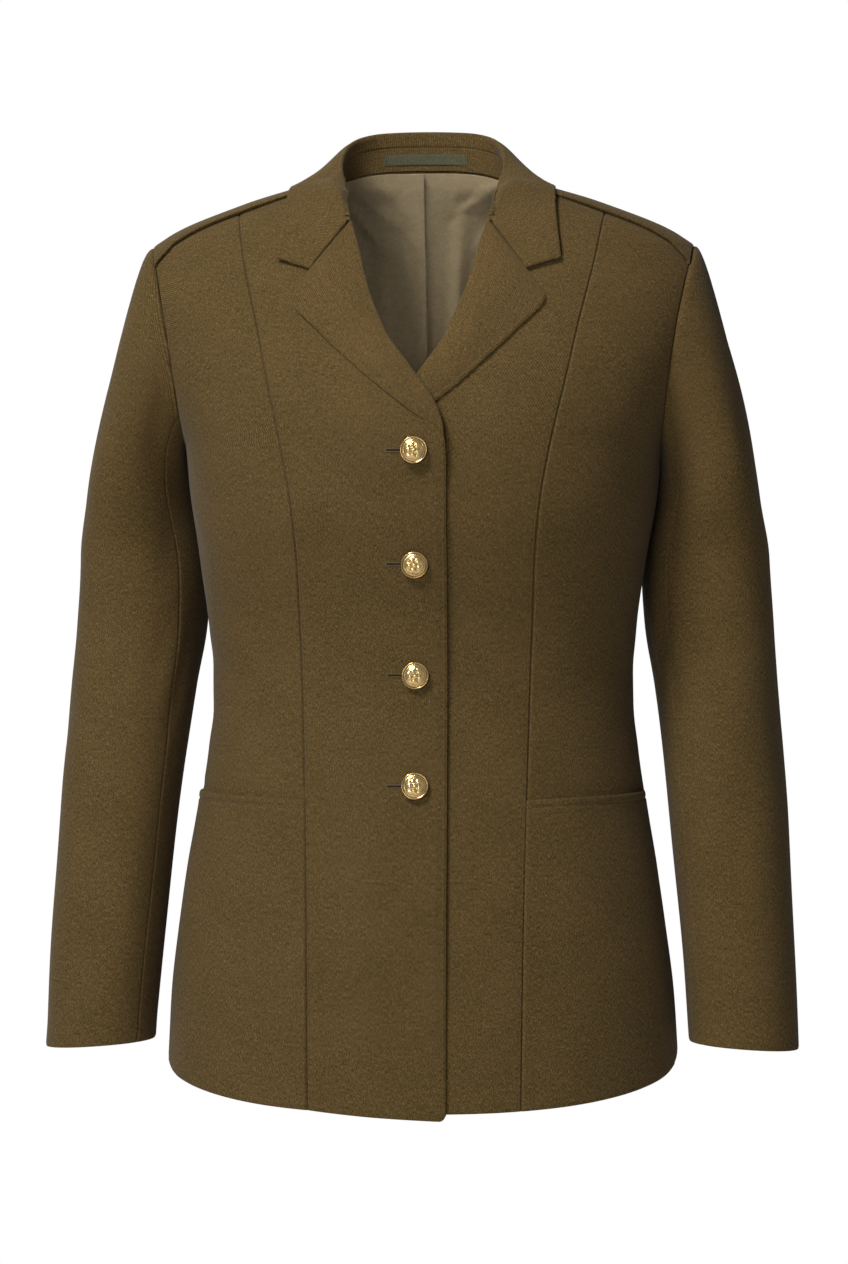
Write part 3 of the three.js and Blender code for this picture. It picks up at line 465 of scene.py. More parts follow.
# On the body: across is measured round the surface from the centre front at 2.2 mm for each degree.
BODY_CREASES = {
    1: rows(
        CREASE,
        ((182, -212), (140, -262), 11, -1.5), ((184, -240), (150, -300), 13, -1.3),
        ((170, -200), (128, -232), 9, -0.9), ((198, -196), (196, -262), 12, 1.5),
         ((196, -352), (120, -368), 12, -1.2),
        ((206, -392), (140, -398), 13, -0.9), ((150, -470), (168, -640), 18, 1.3),
        ((95, -500), (100, -650), 20, -1.1), ((36, -560), (30, -660), 16, 0.8),
        ((60, -330), (100, -352), 16, -0.7), ((110, -90), (126, -150), 12, -0.9),
        ((250, -205), (300, -270), 13, -1.8), ((270, -196), (330, -246), 14, -1.5),
        ((210, -350), (330, -372), 14, -1.8), ((230, -384), (320, -402), 13, -1.3),
        ((240, -480), (236, -640), 20, 1.5), ((300, -470), (310, -640), 22, -1.5),
        ((350, -440), (356, -640), 20, 1.3), ((310, -100), (300, -180), 16, -1.2),
    ),
    -1: rows(
        CREASE,
        ((180, -208), (138, -250), 10, -1.4), ((186, -234), (156, -290), 12, -1.4),
        ((168, -200), (122, -240), 9, -0.8), ((198, -196), (196, -258), 12, 1.5),
         ((198, -346), (128, -362), 12, -1.3),
        ((208, -386), (150, -400), 12, -1.0), ((158, -480), (176, -640), 19, 1.2),
        ((104, -520), (110, -650), 20, -0.9), ((50, -540), (44, -660), 16, -0.8),
        ((66, -336), (104, -350), 15, -0.6), ((112, -94), (124, -156), 11, -0.8),
        ((246, -208), (292, -276), 12, -1.7), ((266, -198), (326, -252), 13, -1.6),
        ((214, -354), (322, -368), 14, -1.6), ((236, -388), (330, -406), 13, -1.4),
        ((246, -490), (240, -640), 20, -1.4), ((296, -480), (302, -640), 21, 1.5),
        ((346, -450), (350, -640), 19, -1.3), ((316, -96), (306, -176), 15, -1.3),
    ),
}
BODY_MM_PER_DEGREE = 2.2


def body_relief(turn, z, s):
    """Creases and the slow unevenness of hung cloth, for one half of the body."""
    x = turn * BODY_MM_PER_DEGREE
    slow = 0.45 * np.sin(x / 31 + z / 83 + 0.7 * s) * np.sin(z / 57 + 1.3 + 0.5 * s)
    return creases(BODY_CREASES[s], x, z) + slow * ramp(-30, -110, z)


print(sum(len(t) for t in BODY_CREASES.values()), "creases on the body")

# %% [markdown]
# Every piece of cloth becomes a mesh in the same way, so that is one helper. It adds a grid with
# Blender's own primitive, moves its vertices on to the drafted surface, writes a UV map that measures
# the cloth in metres along its weave, and applies two modifiers: Solidify gives the wall its
# thickness towards the inside, and Bevel rounds the cut edge.

# %% A piece of cloth from a grid of points
pieces = {}


def arc_map(p):
    """UV in metres: lengths along rows from the middle column, and up the middle column."""
    d = edge_distances(p)
    mid_col, mid_row = p.shape[1] // 2, p.shape[0] // 2
    u = d["left"] - d["left"][:, mid_col : mid_col + 1]
    v = d["low"] - d["low"][mid_row : mid_row + 1, :]
    return np.stack([u, v], -1) * MM


def grid_object(name, p, uv=None):
    """A mesh grid whose vertices are the points p (rows upwards, columns to the right), in mm."""
    n_rows, n_cols = p.shape[:2]
    bpy.ops.object.select_all(action="DESELECT")
    bpy.ops.mesh.primitive_grid_add(x_subdivisions=n_cols - 1, y_subdivisions=n_rows - 1, size=1)
    piece = bpy.context.object
    piece.name = piece.data.name = name
    mesh = piece.data
    mesh.vertices.foreach_set("co", (p.reshape(-1, 3) * MM).astype(np.float32).ravel())
    uv = arc_map(p) if uv is None else uv
    corner = np.zeros(len(mesh.loops), np.int32)
    mesh.loops.foreach_get("vertex_index", corner)
    layer = mesh.uv_layers[0] if mesh.uv_layers else mesh.uv_layers.new()
    layer.name = "weave"
    layer.data.foreach_set("uv", uv.reshape(-1, 2)[corner].astype(np.float32).ravel())
    mesh.update()
    return piece


def thicken(piece, thickness, round_edge=0.45, angle=50):
    """Gives the sheet its wall, inwards from its outer face, and rounds the edge of the cloth."""
    wall = piece.modifiers.new("wall", "SOLIDIFY")
    wall.thickness = thickness * MM
    wall.offset = -1
    if round_edge:
        bevel = piece.modifiers.new("edge", "BEVEL")
        bevel.width = round_edge * MM
        bevel.segments = 2
        bevel.limit_method = "ANGLE"
        bevel.angle_limit = math.radians(62)
    bpy.context.view_layer.objects.active = piece
    for modifier in list(piece.modifiers):
        bpy.ops.object.modifier_apply(modifier=modifier.name)
    bpy.ops.object.shade_smooth_by_angle(angle=math.radians(angle))
    return piece


def finish_piece(piece, material, node=None):
    piece.data.materials.clear()
    piece.data.materials.append(material)
    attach(piece, "root")
    if node:
        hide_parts(node)
    pieces[piece.name] = piece
    return piece


def cloth(name, p, node, material, thickness=CLOTH, mirrored=False):
    """A finished piece of cloth from the points of its outer face."""
    if mirrored:
        p = p[:, ::-1] * np.array([-1, 1, 1])
    piece = thicken(grid_object(name, p), thickness)
    finish_piece(piece, material, node)
    return piece


# %% [markdown]
# The wool is barathea, a close fine twill dyed in the piece, with fibres of slightly different browns
# spun together. Four layers give that: slow clouds of lighter and darker cloth, a heather of mixed
# yarn, a fine fleck of pale fibre, and the diagonal of the twill, which also drives the bump. The
# pattern follows the weave map, so it turns with each piece. A little sheen stands for the nap.

# %% Wool
def tree_of(name):
    material = bpy.data.materials.new(name)
    material.use_nodes = True
    return material, material.node_tree.nodes, material.node_tree.links


def noise(nodes, links, vector, scale, detail=2.0, roughness=0.5):
    node = nodes.new("ShaderNodeTexNoise")
    node.inputs["Scale"].default_value = scale
    node.inputs["Detail"].default_value = detail
    node.inputs["Roughness"].default_value = roughness
    links.new(vector, node.inputs["Vector"])
    return node.outputs["Fac"]


def blend_colours(nodes, links, factor, a, b, mode="MIX"):
    node = nodes.new("ShaderNodeMix")
    node.data_type = "RGBA"
    node.blend_type = mode
    for value, socket in ((factor, node.inputs[0]), (a, node.inputs[6]), (b, node.inputs[7])):
        if hasattr(value, "links"):
            links.new(value, socket)
        else:
            socket.default_value = value
    return node.outputs[2]


def remap(nodes, links, value, low, high, to_low, to_high):
    node = nodes.new("ShaderNodeMapRange")
    for key, number in zip(("From Min", "From Max", "To Min", "To Max"), (low, high, to_low, to_high)):
        node.inputs[key].default_value = number
    links.new(value, node.inputs["Value"])
    return node.outputs["Result"]


GRAIN = {"fibre": 1100, "fleck": 420, "heather": 190, "cloud": 22}  # noise scales, for each metre


def woven(name, dark, light, fleck, twill=1.4, bump=0.35, roughness=0.92, sheen=0.08, contrast=1.0,
          weave_angle=0.0):
    """Twill cloth. twill is the pitch of its diagonal in millimetres, across the lines."""
    material, nodes, links = tree_of(name)
    shader = nodes["Principled BSDF"]
    uv = nodes.new("ShaderNodeUVMap")
    uv.uv_map = "weave"
    place_on = nodes.new("ShaderNodeMapping")
    place_on.inputs["Rotation"].default_value = (0, 0, weave_angle)
    links.new(uv.outputs["UV"], place_on.inputs["Vector"])
    vector = place_on.outputs["Vector"]
    long_fibre = nodes.new("ShaderNodeMapping")
    long_fibre.inputs["Scale"].default_value = (1.0, 0.45, 1.0)
    links.new(vector, long_fibre.inputs["Vector"])
    fibre = noise(nodes, links, long_fibre.outputs["Vector"], GRAIN["fibre"], 2.0, 0.6)
    mixed = noise(nodes, links, vector, GRAIN["fleck"], 2.0, 0.55)
    cloud = noise(nodes, links, vector, GRAIN["cloud"], 3.0, 0.55)
    wave = nodes.new("ShaderNodeTexWave")
    wave.wave_type = "BANDS"
    wave.bands_direction = "DIAGONAL"
    wave.inputs["Scale"].default_value = 2 * math.pi / (10 * math.sqrt(2) * twill * MM)
    wave.inputs["Distortion"].default_value = 1.4
    wave.inputs["Detail"].default_value = 2.0
    wave.inputs["Detail Scale"].default_value = 0.9
    links.new(vector, wave.inputs["Vector"])
    ribs = wave.outputs["Fac"]
    c = contrast
    heather = noise(nodes, links, vector, GRAIN["heather"], 2.0, 0.6)
    patch = nodes.new("ShaderNodeMath")
    patch.operation = "MULTIPLY_ADD"
    links.new(heather, patch.inputs[0])
    patch.inputs[1].default_value = 1.2
    links.new(cloud, patch.inputs[2])
    patchy = remap(nodes, links, patch.outputs[0], 0.75, 1.45, 0.0, 1.0)
    flecks = remap(nodes, links, mixed, 0.5, 0.72, 0.0, 0.5 * c)
    tone = blend_colours(nodes, links, flecks, blend_colours(nodes, links, patchy, dark, light), fleck)
    shade = remap(nodes, links, fibre, 0.25, 0.75, 1 - 0.58 * c, 1 + 0.58 * c)
    rib_shade = remap(nodes, links, ribs, 0.0, 1.0, 1 - 0.28 * c, 1 + 0.28 * c)
    times = nodes.new("ShaderNodeMath")
    times.operation = "MULTIPLY"
    links.new(shade, times.inputs[0])
    links.new(rib_shade, times.inputs[1])
    grey = nodes.new("ShaderNodeCombineColor")
    for channel in ("Red", "Green", "Blue"):
        links.new(times.outputs[0], grey.inputs[channel])
    links.new(blend_colours(nodes, links, 1.0, tone, grey.outputs[0], "MULTIPLY"),
              shader.inputs["Base Color"])
    height = nodes.new("ShaderNodeMath")
    height.operation = "MULTIPLY_ADD"
    links.new(ribs, height.inputs[0])
    height.inputs[1].default_value = 0.6
    links.new(fibre, height.inputs[2])
    relief = nodes.new("ShaderNodeBump")
    relief.inputs["Strength"].default_value = bump
    relief.inputs["Distance"].default_value = 0.0004
    links.new(height.outputs[0], relief.inputs["Height"])
    links.new(relief.outputs["Normal"], shader.inputs["Normal"])
    shader.inputs["Roughness"].default_value = roughness
    shader.inputs["Sheen Weight"].default_value = sheen
    shader.inputs["Sheen Roughness"].default_value = 0.45
    shader.inputs["Specular IOR Level"].default_value = 0.12
    return material


WOOL_DARK = (0.099, 0.066, 0.0205, 1)
WOOL_LIGHT = (0.138, 0.084, 0.0295, 1)
WOOL_FLECK = (0.19, 0.133, 0.056, 1)
wool = woven("wool_twill", WOOL_DARK, WOOL_LIGHT, WOOL_FLECK)
wool_bias = woven("wool_twill_bias", WOOL_DARK, WOOL_LIGHT, WOOL_FLECK, weave_angle=0.7)
print("wool made, on the straight grain and on the bias")

# %% [markdown]
# Satin for the lining has long floats, so it is smoother, shinier and paler than the wool, and its
# shine is stronger across the threads than along them. Its colours are also painted lighter than the
# satin's own, as painted light for a lining that hangs in shade inside the neck. The hanger label is a
# narrow woven tape, and the thread of the stitches is the wool's own colour, a little lighter where it
# catches the light.

# %% Lining, tape, thread and slit
# Painted light: both satin colours are lighter than the satin's own, for the lining in shade inside the neck.
satin = woven("lining_satin", (0.36, 0.28, 0.157, 1), (0.44, 0.342, 0.196, 1), (0.46, 0.37, 0.23, 1),
              twill=0.5, bump=0.1, roughness=0.4, sheen=0.2, contrast=0.3)
satin.node_tree.nodes["Principled BSDF"].inputs["Specular IOR Level"].default_value = 0.45
satin.node_tree.nodes["Principled BSDF"].inputs["Anisotropic"].default_value = 0.4
tape = woven("label_tape", (0.088, 0.088, 0.05, 1), (0.108, 0.107, 0.062, 1), (0.12, 0.12, 0.075, 1),
             twill=0.7, bump=0.3, roughness=0.7, sheen=0.05, contrast=0.6)


def plain_thread(name, colour, roughness=0.7):
    material, nodes, links = tree_of(name)
    coord = nodes.new("ShaderNodeTexCoord")
    fac = noise(nodes, links, coord.outputs["Object"], 900, 2.0)
    darker = tuple(0.75 * c for c in colour[:3]) + (1,)
    lighter = tuple(1.2 * c for c in colour[:3]) + (1,)
    base = blend_colours(nodes, links, fac, darker, lighter)
    links.new(base, nodes["Principled BSDF"].inputs["Base Color"])
    nodes["Principled BSDF"].inputs["Roughness"].default_value = roughness
    return material


thread = plain_thread("thread_brown", (0.07, 0.046, 0.017, 1))
thread_pale = plain_thread("thread_tan", (0.22, 0.16, 0.078, 1))
thread_whip = plain_thread("thread_whip", (0.15, 0.105, 0.043, 1))
# Near black: painted shade for the inside of a buttonhole's cut.
slit_painted_shade = plain_thread("slit_painted_shade", (0.012, 0.008, 0.004, 1), 0.95)

# %% [markdown]
# The four panels of each half go round the body: front, side front, side back and back. The front on
# the wearer's right laps over the left one, so the two are pushed apart where they cross, and the
# upper one hangs a little lower at its edge. Its bottom corner is rounded, as a tailor turns it.

# %% Body panels
OVERLAP = {"under_sink": 1.5, "over_rise": 2.4, "lapel_lap": 4.0}
EDGE_STITCH_IN, LAPEL_STITCH_IN = 3.2, 3.4
POCKET_SINK = 1.3
CORNER_FADE = 6
POCKET_Z = {"seam": -449, "side": -445}
CORNER_R = 5.0


def overlap_lift(turn, z, s):
    """How far a front lies off the body where the two fronts cross. s is 1 for the wearer's left."""
    x = on_body(turn, z)[..., 0]
    near = (1 - ramp(26, 66, x)) * (1 - ramp(-150, -95, z))
    if s > 0:
        return -OVERLAP["under_sink"] * near
    lapel_under = ramp(-235, -190, z) * (1 - ramp(-150, -105, z)) * (1 - ramp(10, 60, x))
    return OVERLAP["over_rise"] * near + OVERLAP["lapel_lap"] * lapel_under


def back_top_at(x):
    z = np.where(np.abs(x) > NECK_X, shoulder_z(np.abs(x)), NAPE_Z * (1 - np.abs(x / NECK_X) ** 3))
    return {"x": x, "z": z}


def front_top(u):
    x = lerp(NECK_X, PRINCESS_TOP, u)
    return {"x": x, "z": shoulder_z(x)}


def front_points(us, vs, s):
    spots = panel_spots(seam_front_edge, seam_front_princess, "x", us, vs, top=front_top)
    p = lifted(spots["turn"], spots["z"], overlap_lift(spots["turn"], spots["z"], s))
    if s < 0:
        p[..., 2] -= OVER_FRONT_DROP * (1 - spots["u"]) * (1 - ramp(0, 0.3, spots["v"]))
    d = edge_distances(p)
    near_edge = np.clip(CORNER_R - d["left"], 0, CORNER_R)
    round_up = CORNER_R - np.sqrt(CORNER_R**2 - near_edge**2)
    p[..., 2] += round_up * np.exp(-d["low"] / CORNER_FADE)
    return p, spots


def shell(p, out):
    """Moves the middle surface out to its outer face, with the relief given."""
    return p + grid_normals(p) * np.asarray(out)[..., None]


def front_panel(word, s):
    p, spots = front_points(crowded(98), ROWS_HIGH, s)
    d = edge_distances(p)
    below_break = 1 - ramp(-200, -180, spots["z"])
    out = CLOTH / 2 + body_relief(spots["turn"], spots["z"], s) * ramp(0, 12, d["left"])
    out = out + ditch(d["right"]) + stitch_groove(d["right"])
    edge = 2.5 * stitch_groove(d["left"], EDGE_STITCH_IN) + rolled(d["left"], 1.0, 1.5)
    out = out + below_break * edge + rolled(d["low"])
    p = shell(p, out)
    cloth(f"cloth_front_{word}", p, f"front_{word}", wool, mirrored=s < 0)
    return p


def side_front_panel(word, s):
    spots = panel_spots(seam_front_princess, seam_front_side, "turn", crowded(105), ROWS_HIGH)
    sink = -POCKET_SINK * (1 - ramp(POCKET_Z["side"] - 8, POCKET_Z["side"] + 1, spots["z"]))
    near_seam = 1 - ramp(0, 0.3, spots["u"]) + ramp(0.75, 1, spots["u"])
    p = lifted(spots["turn"], spots["z"], sink * near_seam)
    d = edge_distances(p)
    above = ramp(POCKET_Z["seam"] + 2, POCKET_Z["seam"] + 8, spots["z"])
    out = CLOTH / 2 + body_relief(spots["turn"], spots["z"], s)
    out = out + ditch(d["left"]) * above + ditch(d["right"]) + rolled(d["low"])
    out = out - 0.7 * np.exp(-(((spots["z"] - pocket_mouth(spots["u"]) - 2.5) / 3.0) ** 2))
    p = shell(p, out)
    cloth(f"cloth_side_front_{word}", p, f"side_front_{word}", wool, mirrored=s < 0)


def pocket_mouth(u):
    return lerp(POCKET_Z["seam"], POCKET_Z["side"], u)


def side_back_panel(word, s):
    spots = panel_spots(seam_back_side, seam_back_princess, "turn", crowded(95), ROWS_HIGH)
    p = on_body(spots["turn"], spots["z"])
    d = edge_distances(p)
    out = CLOTH / 2 + body_relief(spots["turn"], spots["z"], s)
    p = shell(p, out + ditch(d["left"]) + ditch(d["right"]) + rolled(d["low"]))
    cloth(f"cloth_side_back_{word}", p, f"side_back_{word}", wool, mirrored=s < 0)


def back_panel(word, s):
    spots = panel_spots(seam_back_princess, seam_centre_back, "x", crowded(80), ROWS_HIGH, True,
                        lambda u: back_top_at(lerp(PRINCESS_TOP, 0, u)))
    p = on_body(spots["turn"], spots["z"])
    p[..., 0] = np.maximum(p[..., 0], SEAM_INSET)
    d = edge_distances(p)
    out = CLOTH / 2 + body_relief(spots["turn"], spots["z"], s) * ramp(0, 25, d["right"])
    out = out + ditch(d["left"]) + stitch_groove(d["left"]) + ditch(d["right"]) + rolled(d["low"])
    cloth(f"cloth_back_{word}", shell(p, out), f"back_{word}", wool, mirrored=s < 0)


SIDES = (("left", 1), ("right", -1))
front_faces = {}
for word, s in SIDES:
    front_faces[s] = front_panel(word, s)
    side_front_panel(word, s)
    side_back_panel(word, s)
    back_panel(word, s)

# %% [markdown]
# The hip pocket is a second layer laid over the lower side front and caught in both seams, so only its
# mouth is free. The mouth is a turned edge, stitched 5.5 millimetres down, and it gapes by a hair
# in the middle. That gap and the row below it are what the eye reads as a pocket.

# %% Pockets
POCKET = {"lift": 2.5, "seam_lift": 0.5, "stitch_down": 5.5, "gape": 1.4}


def pocket_points(us, vs):
    u, v = np.meshgrid(us, vs)
    mouth = pocket_mouth(u)
    rise = (mouth - hem_z(60)) / (UNDERARM_Z - hem_z(60)) * SKIRT_SHARE
    l, r = seam_front_princess(v * rise), seam_front_side(v * rise)
    turn = lerp(l["turn"], r["turn"], u)
    z = lerp(hem_z(turn), mouth, v)
    lift = lerp(POCKET["seam_lift"], POCKET["lift"], ramp(0, 0.3, u) - ramp(0.75, 1, u))
    lift = lift + POCKET["gape"] * np.sin(math.pi * u) * ramp(0.94, 1, v)
    return lifted(turn, z, lift), turn, z


def pocket(word, s):
    vs = np.concatenate([[0, 0.003, 0.008], np.linspace(0.015, 0.955, 56), 1 - np.array(
        [0.036, 0.03, 0.026, 0.022, 0.018, 0.014, 0.01, 0.006, 0.003, 0.001, 0])])
    p, turn, z = pocket_points(crowded(105), vs)
    d = edge_distances(p)
    out = CLOTH / 2 + body_relief(turn, z, s) * ramp(0, 20, d["top"])
    out = out + ditch(d["left"]) + ditch(d["right"]) + rolled(d["low"]) + rolled(d["top"])
    out = out + 5 * stitch_groove(d["top"], POCKET["stitch_down"])
    p = shell(p, out)
    cloth(f"cloth_pocket_{word}", p, f"pocket_{word}", wool,
          mirrored=s < 0)
    return p


pocket_faces = {s: pocket(word, s) for word, s in SIDES}

# %% [markdown]
# A lapel is the top of the front edge turned back on to the chest. The grid starts behind the roll,
# goes round it in a half circle, so that the fold is soft and not a knife edge, and then lies on the
# chest out to the stitched edge. Towards the break the half circle shrinks and the lapel sinks into
# the front edge, which is how the real one ends.

# %% Lapels
LAPEL_TOP = (49.8, -33)
NOTCH = (77, -71)
COLLAR_CORNER = (101.5, -63.5)
LAPEL_EDGE = rows(
    "along x z", (0, -17.6, -188.5), (0.14, 0, -178), (0.32, 25, -159), (0.5, 48, -138),
    (0.68, 70, -116.5), (0.86, 91, -91), (1, 77, -71),
)
LAPEL_TIP_AT = 0.86
LAPEL_RISE = 2.6
ON_CHEST = (CLOTH + FACED) / 2 + 0.7
lapel_x, lapel_z = column(LAPEL_EDGE, "x", "along"), column(LAPEL_EDGE, "z", "along")


def chest_point(x, z, lift):
    turn = turn_at(np.minimum(np.abs(x), side(z) - 0.01), z, False)
    p = lifted(turn, z, lift)
    p[..., 0] = np.where(x < 0, -p[..., 0], p[..., 0])
    return p


def chest_normal(x, z):
    n = body_normal(turn_at(np.minimum(np.abs(x), side(z) - 0.01), z, False), z)
    n[..., 0] = np.where(x < 0, -n[..., 0], n[..., 0])
    return n


def lapel_rise(u, v):
    along_roll = ramp(0.1, 0.5, v) * (1 - 0.6 * ramp(0.8, 1, v))
    return LAPEL_RISE * np.sin(math.pi * np.minimum(u * 1.15, 1)) * along_roll


def lapel_edge(v):
    t = (v - LAPEL_TIP_AT) / (1 - LAPEL_TIP_AT)
    tip = LAPEL_EDGE[-2]
    past = v > LAPEL_TIP_AT
    return (np.where(past, lerp(tip["x"], NOTCH[0], t), lapel_x(v)),
            np.where(past, lerp(tip["z"], NOTCH[1], t), lapel_z(v)))


def lapel_surface(u, v, s):
    """The lapel's outer face at u (0 roll, 1 edge) and v (0 break, 1 gorge)."""
    roll_z = lerp(LAPEL_EDGE[0]["z"], LAPEL_TOP[1], v)
    roll_x = front_edge(roll_z) + 2.0 * ramp(0, 0.25, v)
    edge_x, edge_z = lapel_edge(v)
    x, z = lerp(roll_x, edge_x, u), lerp(roll_z, edge_z, u)
    full = ramp(-0.02, 0.2, v)
    front = overlap_lift(turn_at(np.maximum(x, 0), z, False), z, s)
    lift = front + lerp(0.9, ON_CHEST + FACED / 2, full) + lapel_rise(u, v)
    return chest_point(x, z, lift), chest_normal(x, z), full


def lapel(word, s):
    vs = np.concatenate([np.linspace(0, 0.84, 76), np.linspace(0.845, 0.875, 8),
                         np.linspace(0.882, 0.96, 14), [0.968, 0.976, 0.981, 0.985]])
    us = np.concatenate([np.linspace(0, 0.93, 30), [0.95, 0.965, 0.978, 0.988, 0.995, 1]])
    u, v = np.meshgrid(us, vs)
    face, normal, full = lapel_surface(u, v, s)
    start, n0, f0 = face[:, 0], normal[:, 0], full[:, 0][:, None]
    toward = unit(face[:, 2] - face[:, 0])
    radius = lerp(0.8, 2.2, f0)
    centre = start - n0 * radius
    turns = np.radians(np.linspace(-85, 78, 15))
    roll = [centre + radius * (math.sin(t) * n0 - math.cos(t) * toward) for t in turns]
    p = np.concatenate([np.stack(roll, 1), face], 1)
    d = edge_distances(p)
    groove = 2 * stitch_groove(d["right"], LAPEL_STITCH_IN)
    p = shell(p, rolled(d["right"], 0.9, 1.3) + groove + 0.6 * ditch(d["top"]))
    cloth(f"cloth_lapel_{word}", p, f"lapel_{word}", wool_bias, thickness=1.5,
          mirrored=s < 0)
    return p


lapel_faces = {s: lapel(word, s) for word, s in SIDES}

# %% [markdown]
# The collar is one leaf of cloth that stands up inside the neck, folds over and falls outside. Three
# lines give it: the neck seam, the fold and the outer edge. Between fold and edge the fall is a curve
# that starts outwards and ends downwards, so it rolls over instead of bending like card. The same
# smooth spline carries the rows over the fold. Where it meets a front or a strap it is pushed clear.

# %% Collar lines
COLLAR = rows(
    "x y z edge_x edge_z lift back",
    (0, 47, 40.5, 0, -4, 4.4, True), (20, 45.5, 40, 27, -4, 4.4, True),
    (38, 39.5, 38, 52, -5, 4.4, True), (52, 27, 32.5, 74, -7.5, 4.7, True),
    (59, 12, 23.5, 90, -11, 4.9, True), (61, -4, 11, 95.5, -12, 4.9, False),
    (59, -21, -2, 96.5, -24, 4.9, False), (55, -38, -15, 98.5, -41, 5.0, False),
    (50.5, -51, -27, 101.5, -63.5, 4.4, False),
)
STAND_SHARE, BAND_SHARE = 0.5, 0.66


def spline(points):
    """A smooth curve through points. It takes t from 0 to 1 and spends equal t on each stretch."""
    points = np.asarray(points, float)
    padded = np.concatenate([[2 * points[0] - points[1]], points, [2 * points[-1] - points[-2]]])
    gap = np.maximum(np.sum(np.diff(padded, axis=0) ** 2, -1) ** 0.25, 1e-4)

    def at(t):
        place_on = np.clip(np.asarray(t, float), 0, 1) * (len(points) - 1)
        i = np.minimum(place_on.astype(int), len(points) - 2)
        a, b, c, e = (padded[i + k] for k in range(4))
        w = (place_on - i).reshape(i.shape + (1,) * (b.ndim - i.ndim))
        g0, g1, g2 = (gap[i + k][..., None] for k in range(3))
        m1 = ((b - a) / g0 - (c - a) / (g0 + g1) + (c - b) / g1) * g1
        m2 = ((c - b) / g1 - (e - b) / (g1 + g2) + (e - c) / g2) * g1
        return b + m1 * w + (3 * (c - b) - 2 * m1 - m2) * w**2 + (2 * (b - c) + m1 + m2) * w**3

    return at


def both_sides(points):
    mirrored = [(-x, y, z) for x, y, z in points[:0:-1]]
    return spline(np.array(mirrored + list(points)))


def point_on_body(x, z, back, lift=0.0):
    turn = turn_at(np.array([min(x, float(side(z)) - 0.01)]), np.array([float(z)]), back)
    return tuple(lifted(turn, np.array([float(z)]), np.array([lift]))[0])


fold_points = [(c["x"], c["y"], c["z"]) for c in COLLAR[:-1]]
fold_points.append(tuple(chest_point(np.array([50.3]), np.array([-33.0]), np.array([ON_CHEST]))[0]))
edge_points = [point_on_body(c["edge_x"], c["edge_z"], c["back"], c["lift"]) for c in COLLAR]
neck_points = []
for i in range(len(COLLAR)):
    if i <= 5:
        neck_x = NECK_X * math.sin(min(i / 5, 1) * math.pi / 2)
        neck_points.append(point_on_body(neck_x, NAPE_Z * (1 - (neck_x / NECK_X) ** 3), True))
    else:
        neck_z = lerp(0, LAPEL_TOP[1], (i - 5) / 3)
        neck_points.append(point_on_body(float(front_edge(neck_z)), neck_z, False))
fold_line, edge_line, neck_line = (both_sides(p) for p in (fold_points, edge_points, neck_points))


def collar_end(w):
    """The collar's end: along the gorge seam to the notch, then its own short end to the corner."""
    g, t = w / STAND_SHARE, (w - STAND_SHARE) / (1 - STAND_SHARE)
    x = np.where(w <= STAND_SHARE, lerp(LAPEL_TOP[0], NOTCH[0], g), lerp(NOTCH[0], COLLAR_CORNER[0], t))
    z = np.where(w <= STAND_SHARE, lerp(LAPEL_TOP[1], NOTCH[1], g), lerp(NOTCH[1], COLLAR_CORNER[1], t))
    on_lapel = ON_CHEST + lapel_rise(np.minimum(g, 1), 1)
    return chest_point(x, z, np.where(w <= STAND_SHARE, on_lapel, lerp(ON_CHEST, COLLAR[-1]["lift"], t)))


def collar_fall(u, w):
    """The collar's fall at u (-1 right end, 0 centre back, 1 left end) and w (0 fold, 1 edge)."""
    t = (u + 1) / 2
    start, end = fold_line(t), edge_line(t)
    reach = np.linalg.norm(end - start, axis=-1, keepdims=True)
    out = unit(start * np.array([1, 0.9, 0]))
    leave = out * reach * 0.42 + np.array([0, 0, 4.0])
    arrive = (end - start) * 0.75
    k = w[..., None]
    p = start * (2 * k**3 - 3 * k**2 + 1) + leave * (k**3 - 2 * k**2 + k)
    p = p + end * (3 * k**2 - 2 * k**3) + arrive * (k**3 - k**2)
    far = np.abs(u)
    p = lerp(p, lerp(start, end, k), ramp(0.55, 0.95, far)[..., None])
    last = collar_end(w)
    last[..., 0] = np.where(u < 0, -last[..., 0], last[..., 0])
    return lerp(p, last, ramp(0.72, 1, far)[..., None])


OVER_STRAP, OVER_FRONT = 4.5, ON_CHEST + 0.7  # the collar's lift off the body over strap and front
REACH_DOWN, HALVINGS = 90, 40


def shoulder_spot(x, y):
    """Turn and level of the body's surface at a distance across and front to back, seen from above."""
    low, high = shoulder_z(x) - REACH_DOWN, shoulder_z(x)
    for _ in range(HALVINGS):
        middle = (low + high) / 2
        deep = np.abs(on_body(turn_at(x, middle, y > 0), middle)[..., 1])
        low, high = np.where(deep > np.abs(y), middle, low), np.where(deep > np.abs(y), high, middle)
    return turn_at(x, high, y > 0), high


def over_shoulder(x, y, lift):
    turn, z = shoulder_spot(x, y)
    return on_body(turn, z) + body_normal(turn, z) * lift


def clear_of_body(p):
    """Moves points of the collar out along the body's normal until they clear front and strap."""
    x, y = np.abs(p[..., 0]), p[..., 1]
    over_strap = ramp(60, 80, x) * (1 - ramp(22, 40, np.abs(y)))
    lift = lerp(OVER_FRONT, OVER_STRAP, over_strap)
    deep = np.where(y > 0, back_depth(0), front_depth(0))
    n = square(0)
    neck_hole = NECK_X * (1 - np.minimum(np.abs(y) / deep, 1) ** n) ** (1 / n)
    turn, z = shoulder_spot(np.maximum(x, neck_hole + 1), y)
    on, normal = on_body(turn, z), body_normal(turn, z)
    flip = np.where(p[..., 0] < 0, -1.0, 1.0)
    on[..., 0] *= flip
    normal[..., 0] *= flip
    short = lift - np.sum((p - on) * normal, -1)
    beside = ramp(NECK_X - 14, NECK_X - 2, x) + ramp(24, 40, np.abs(y))
    push = (short + np.sqrt(short**2 + 0.8)) / 2 * np.minimum(beside, 1)
    return p + normal * push[..., None]


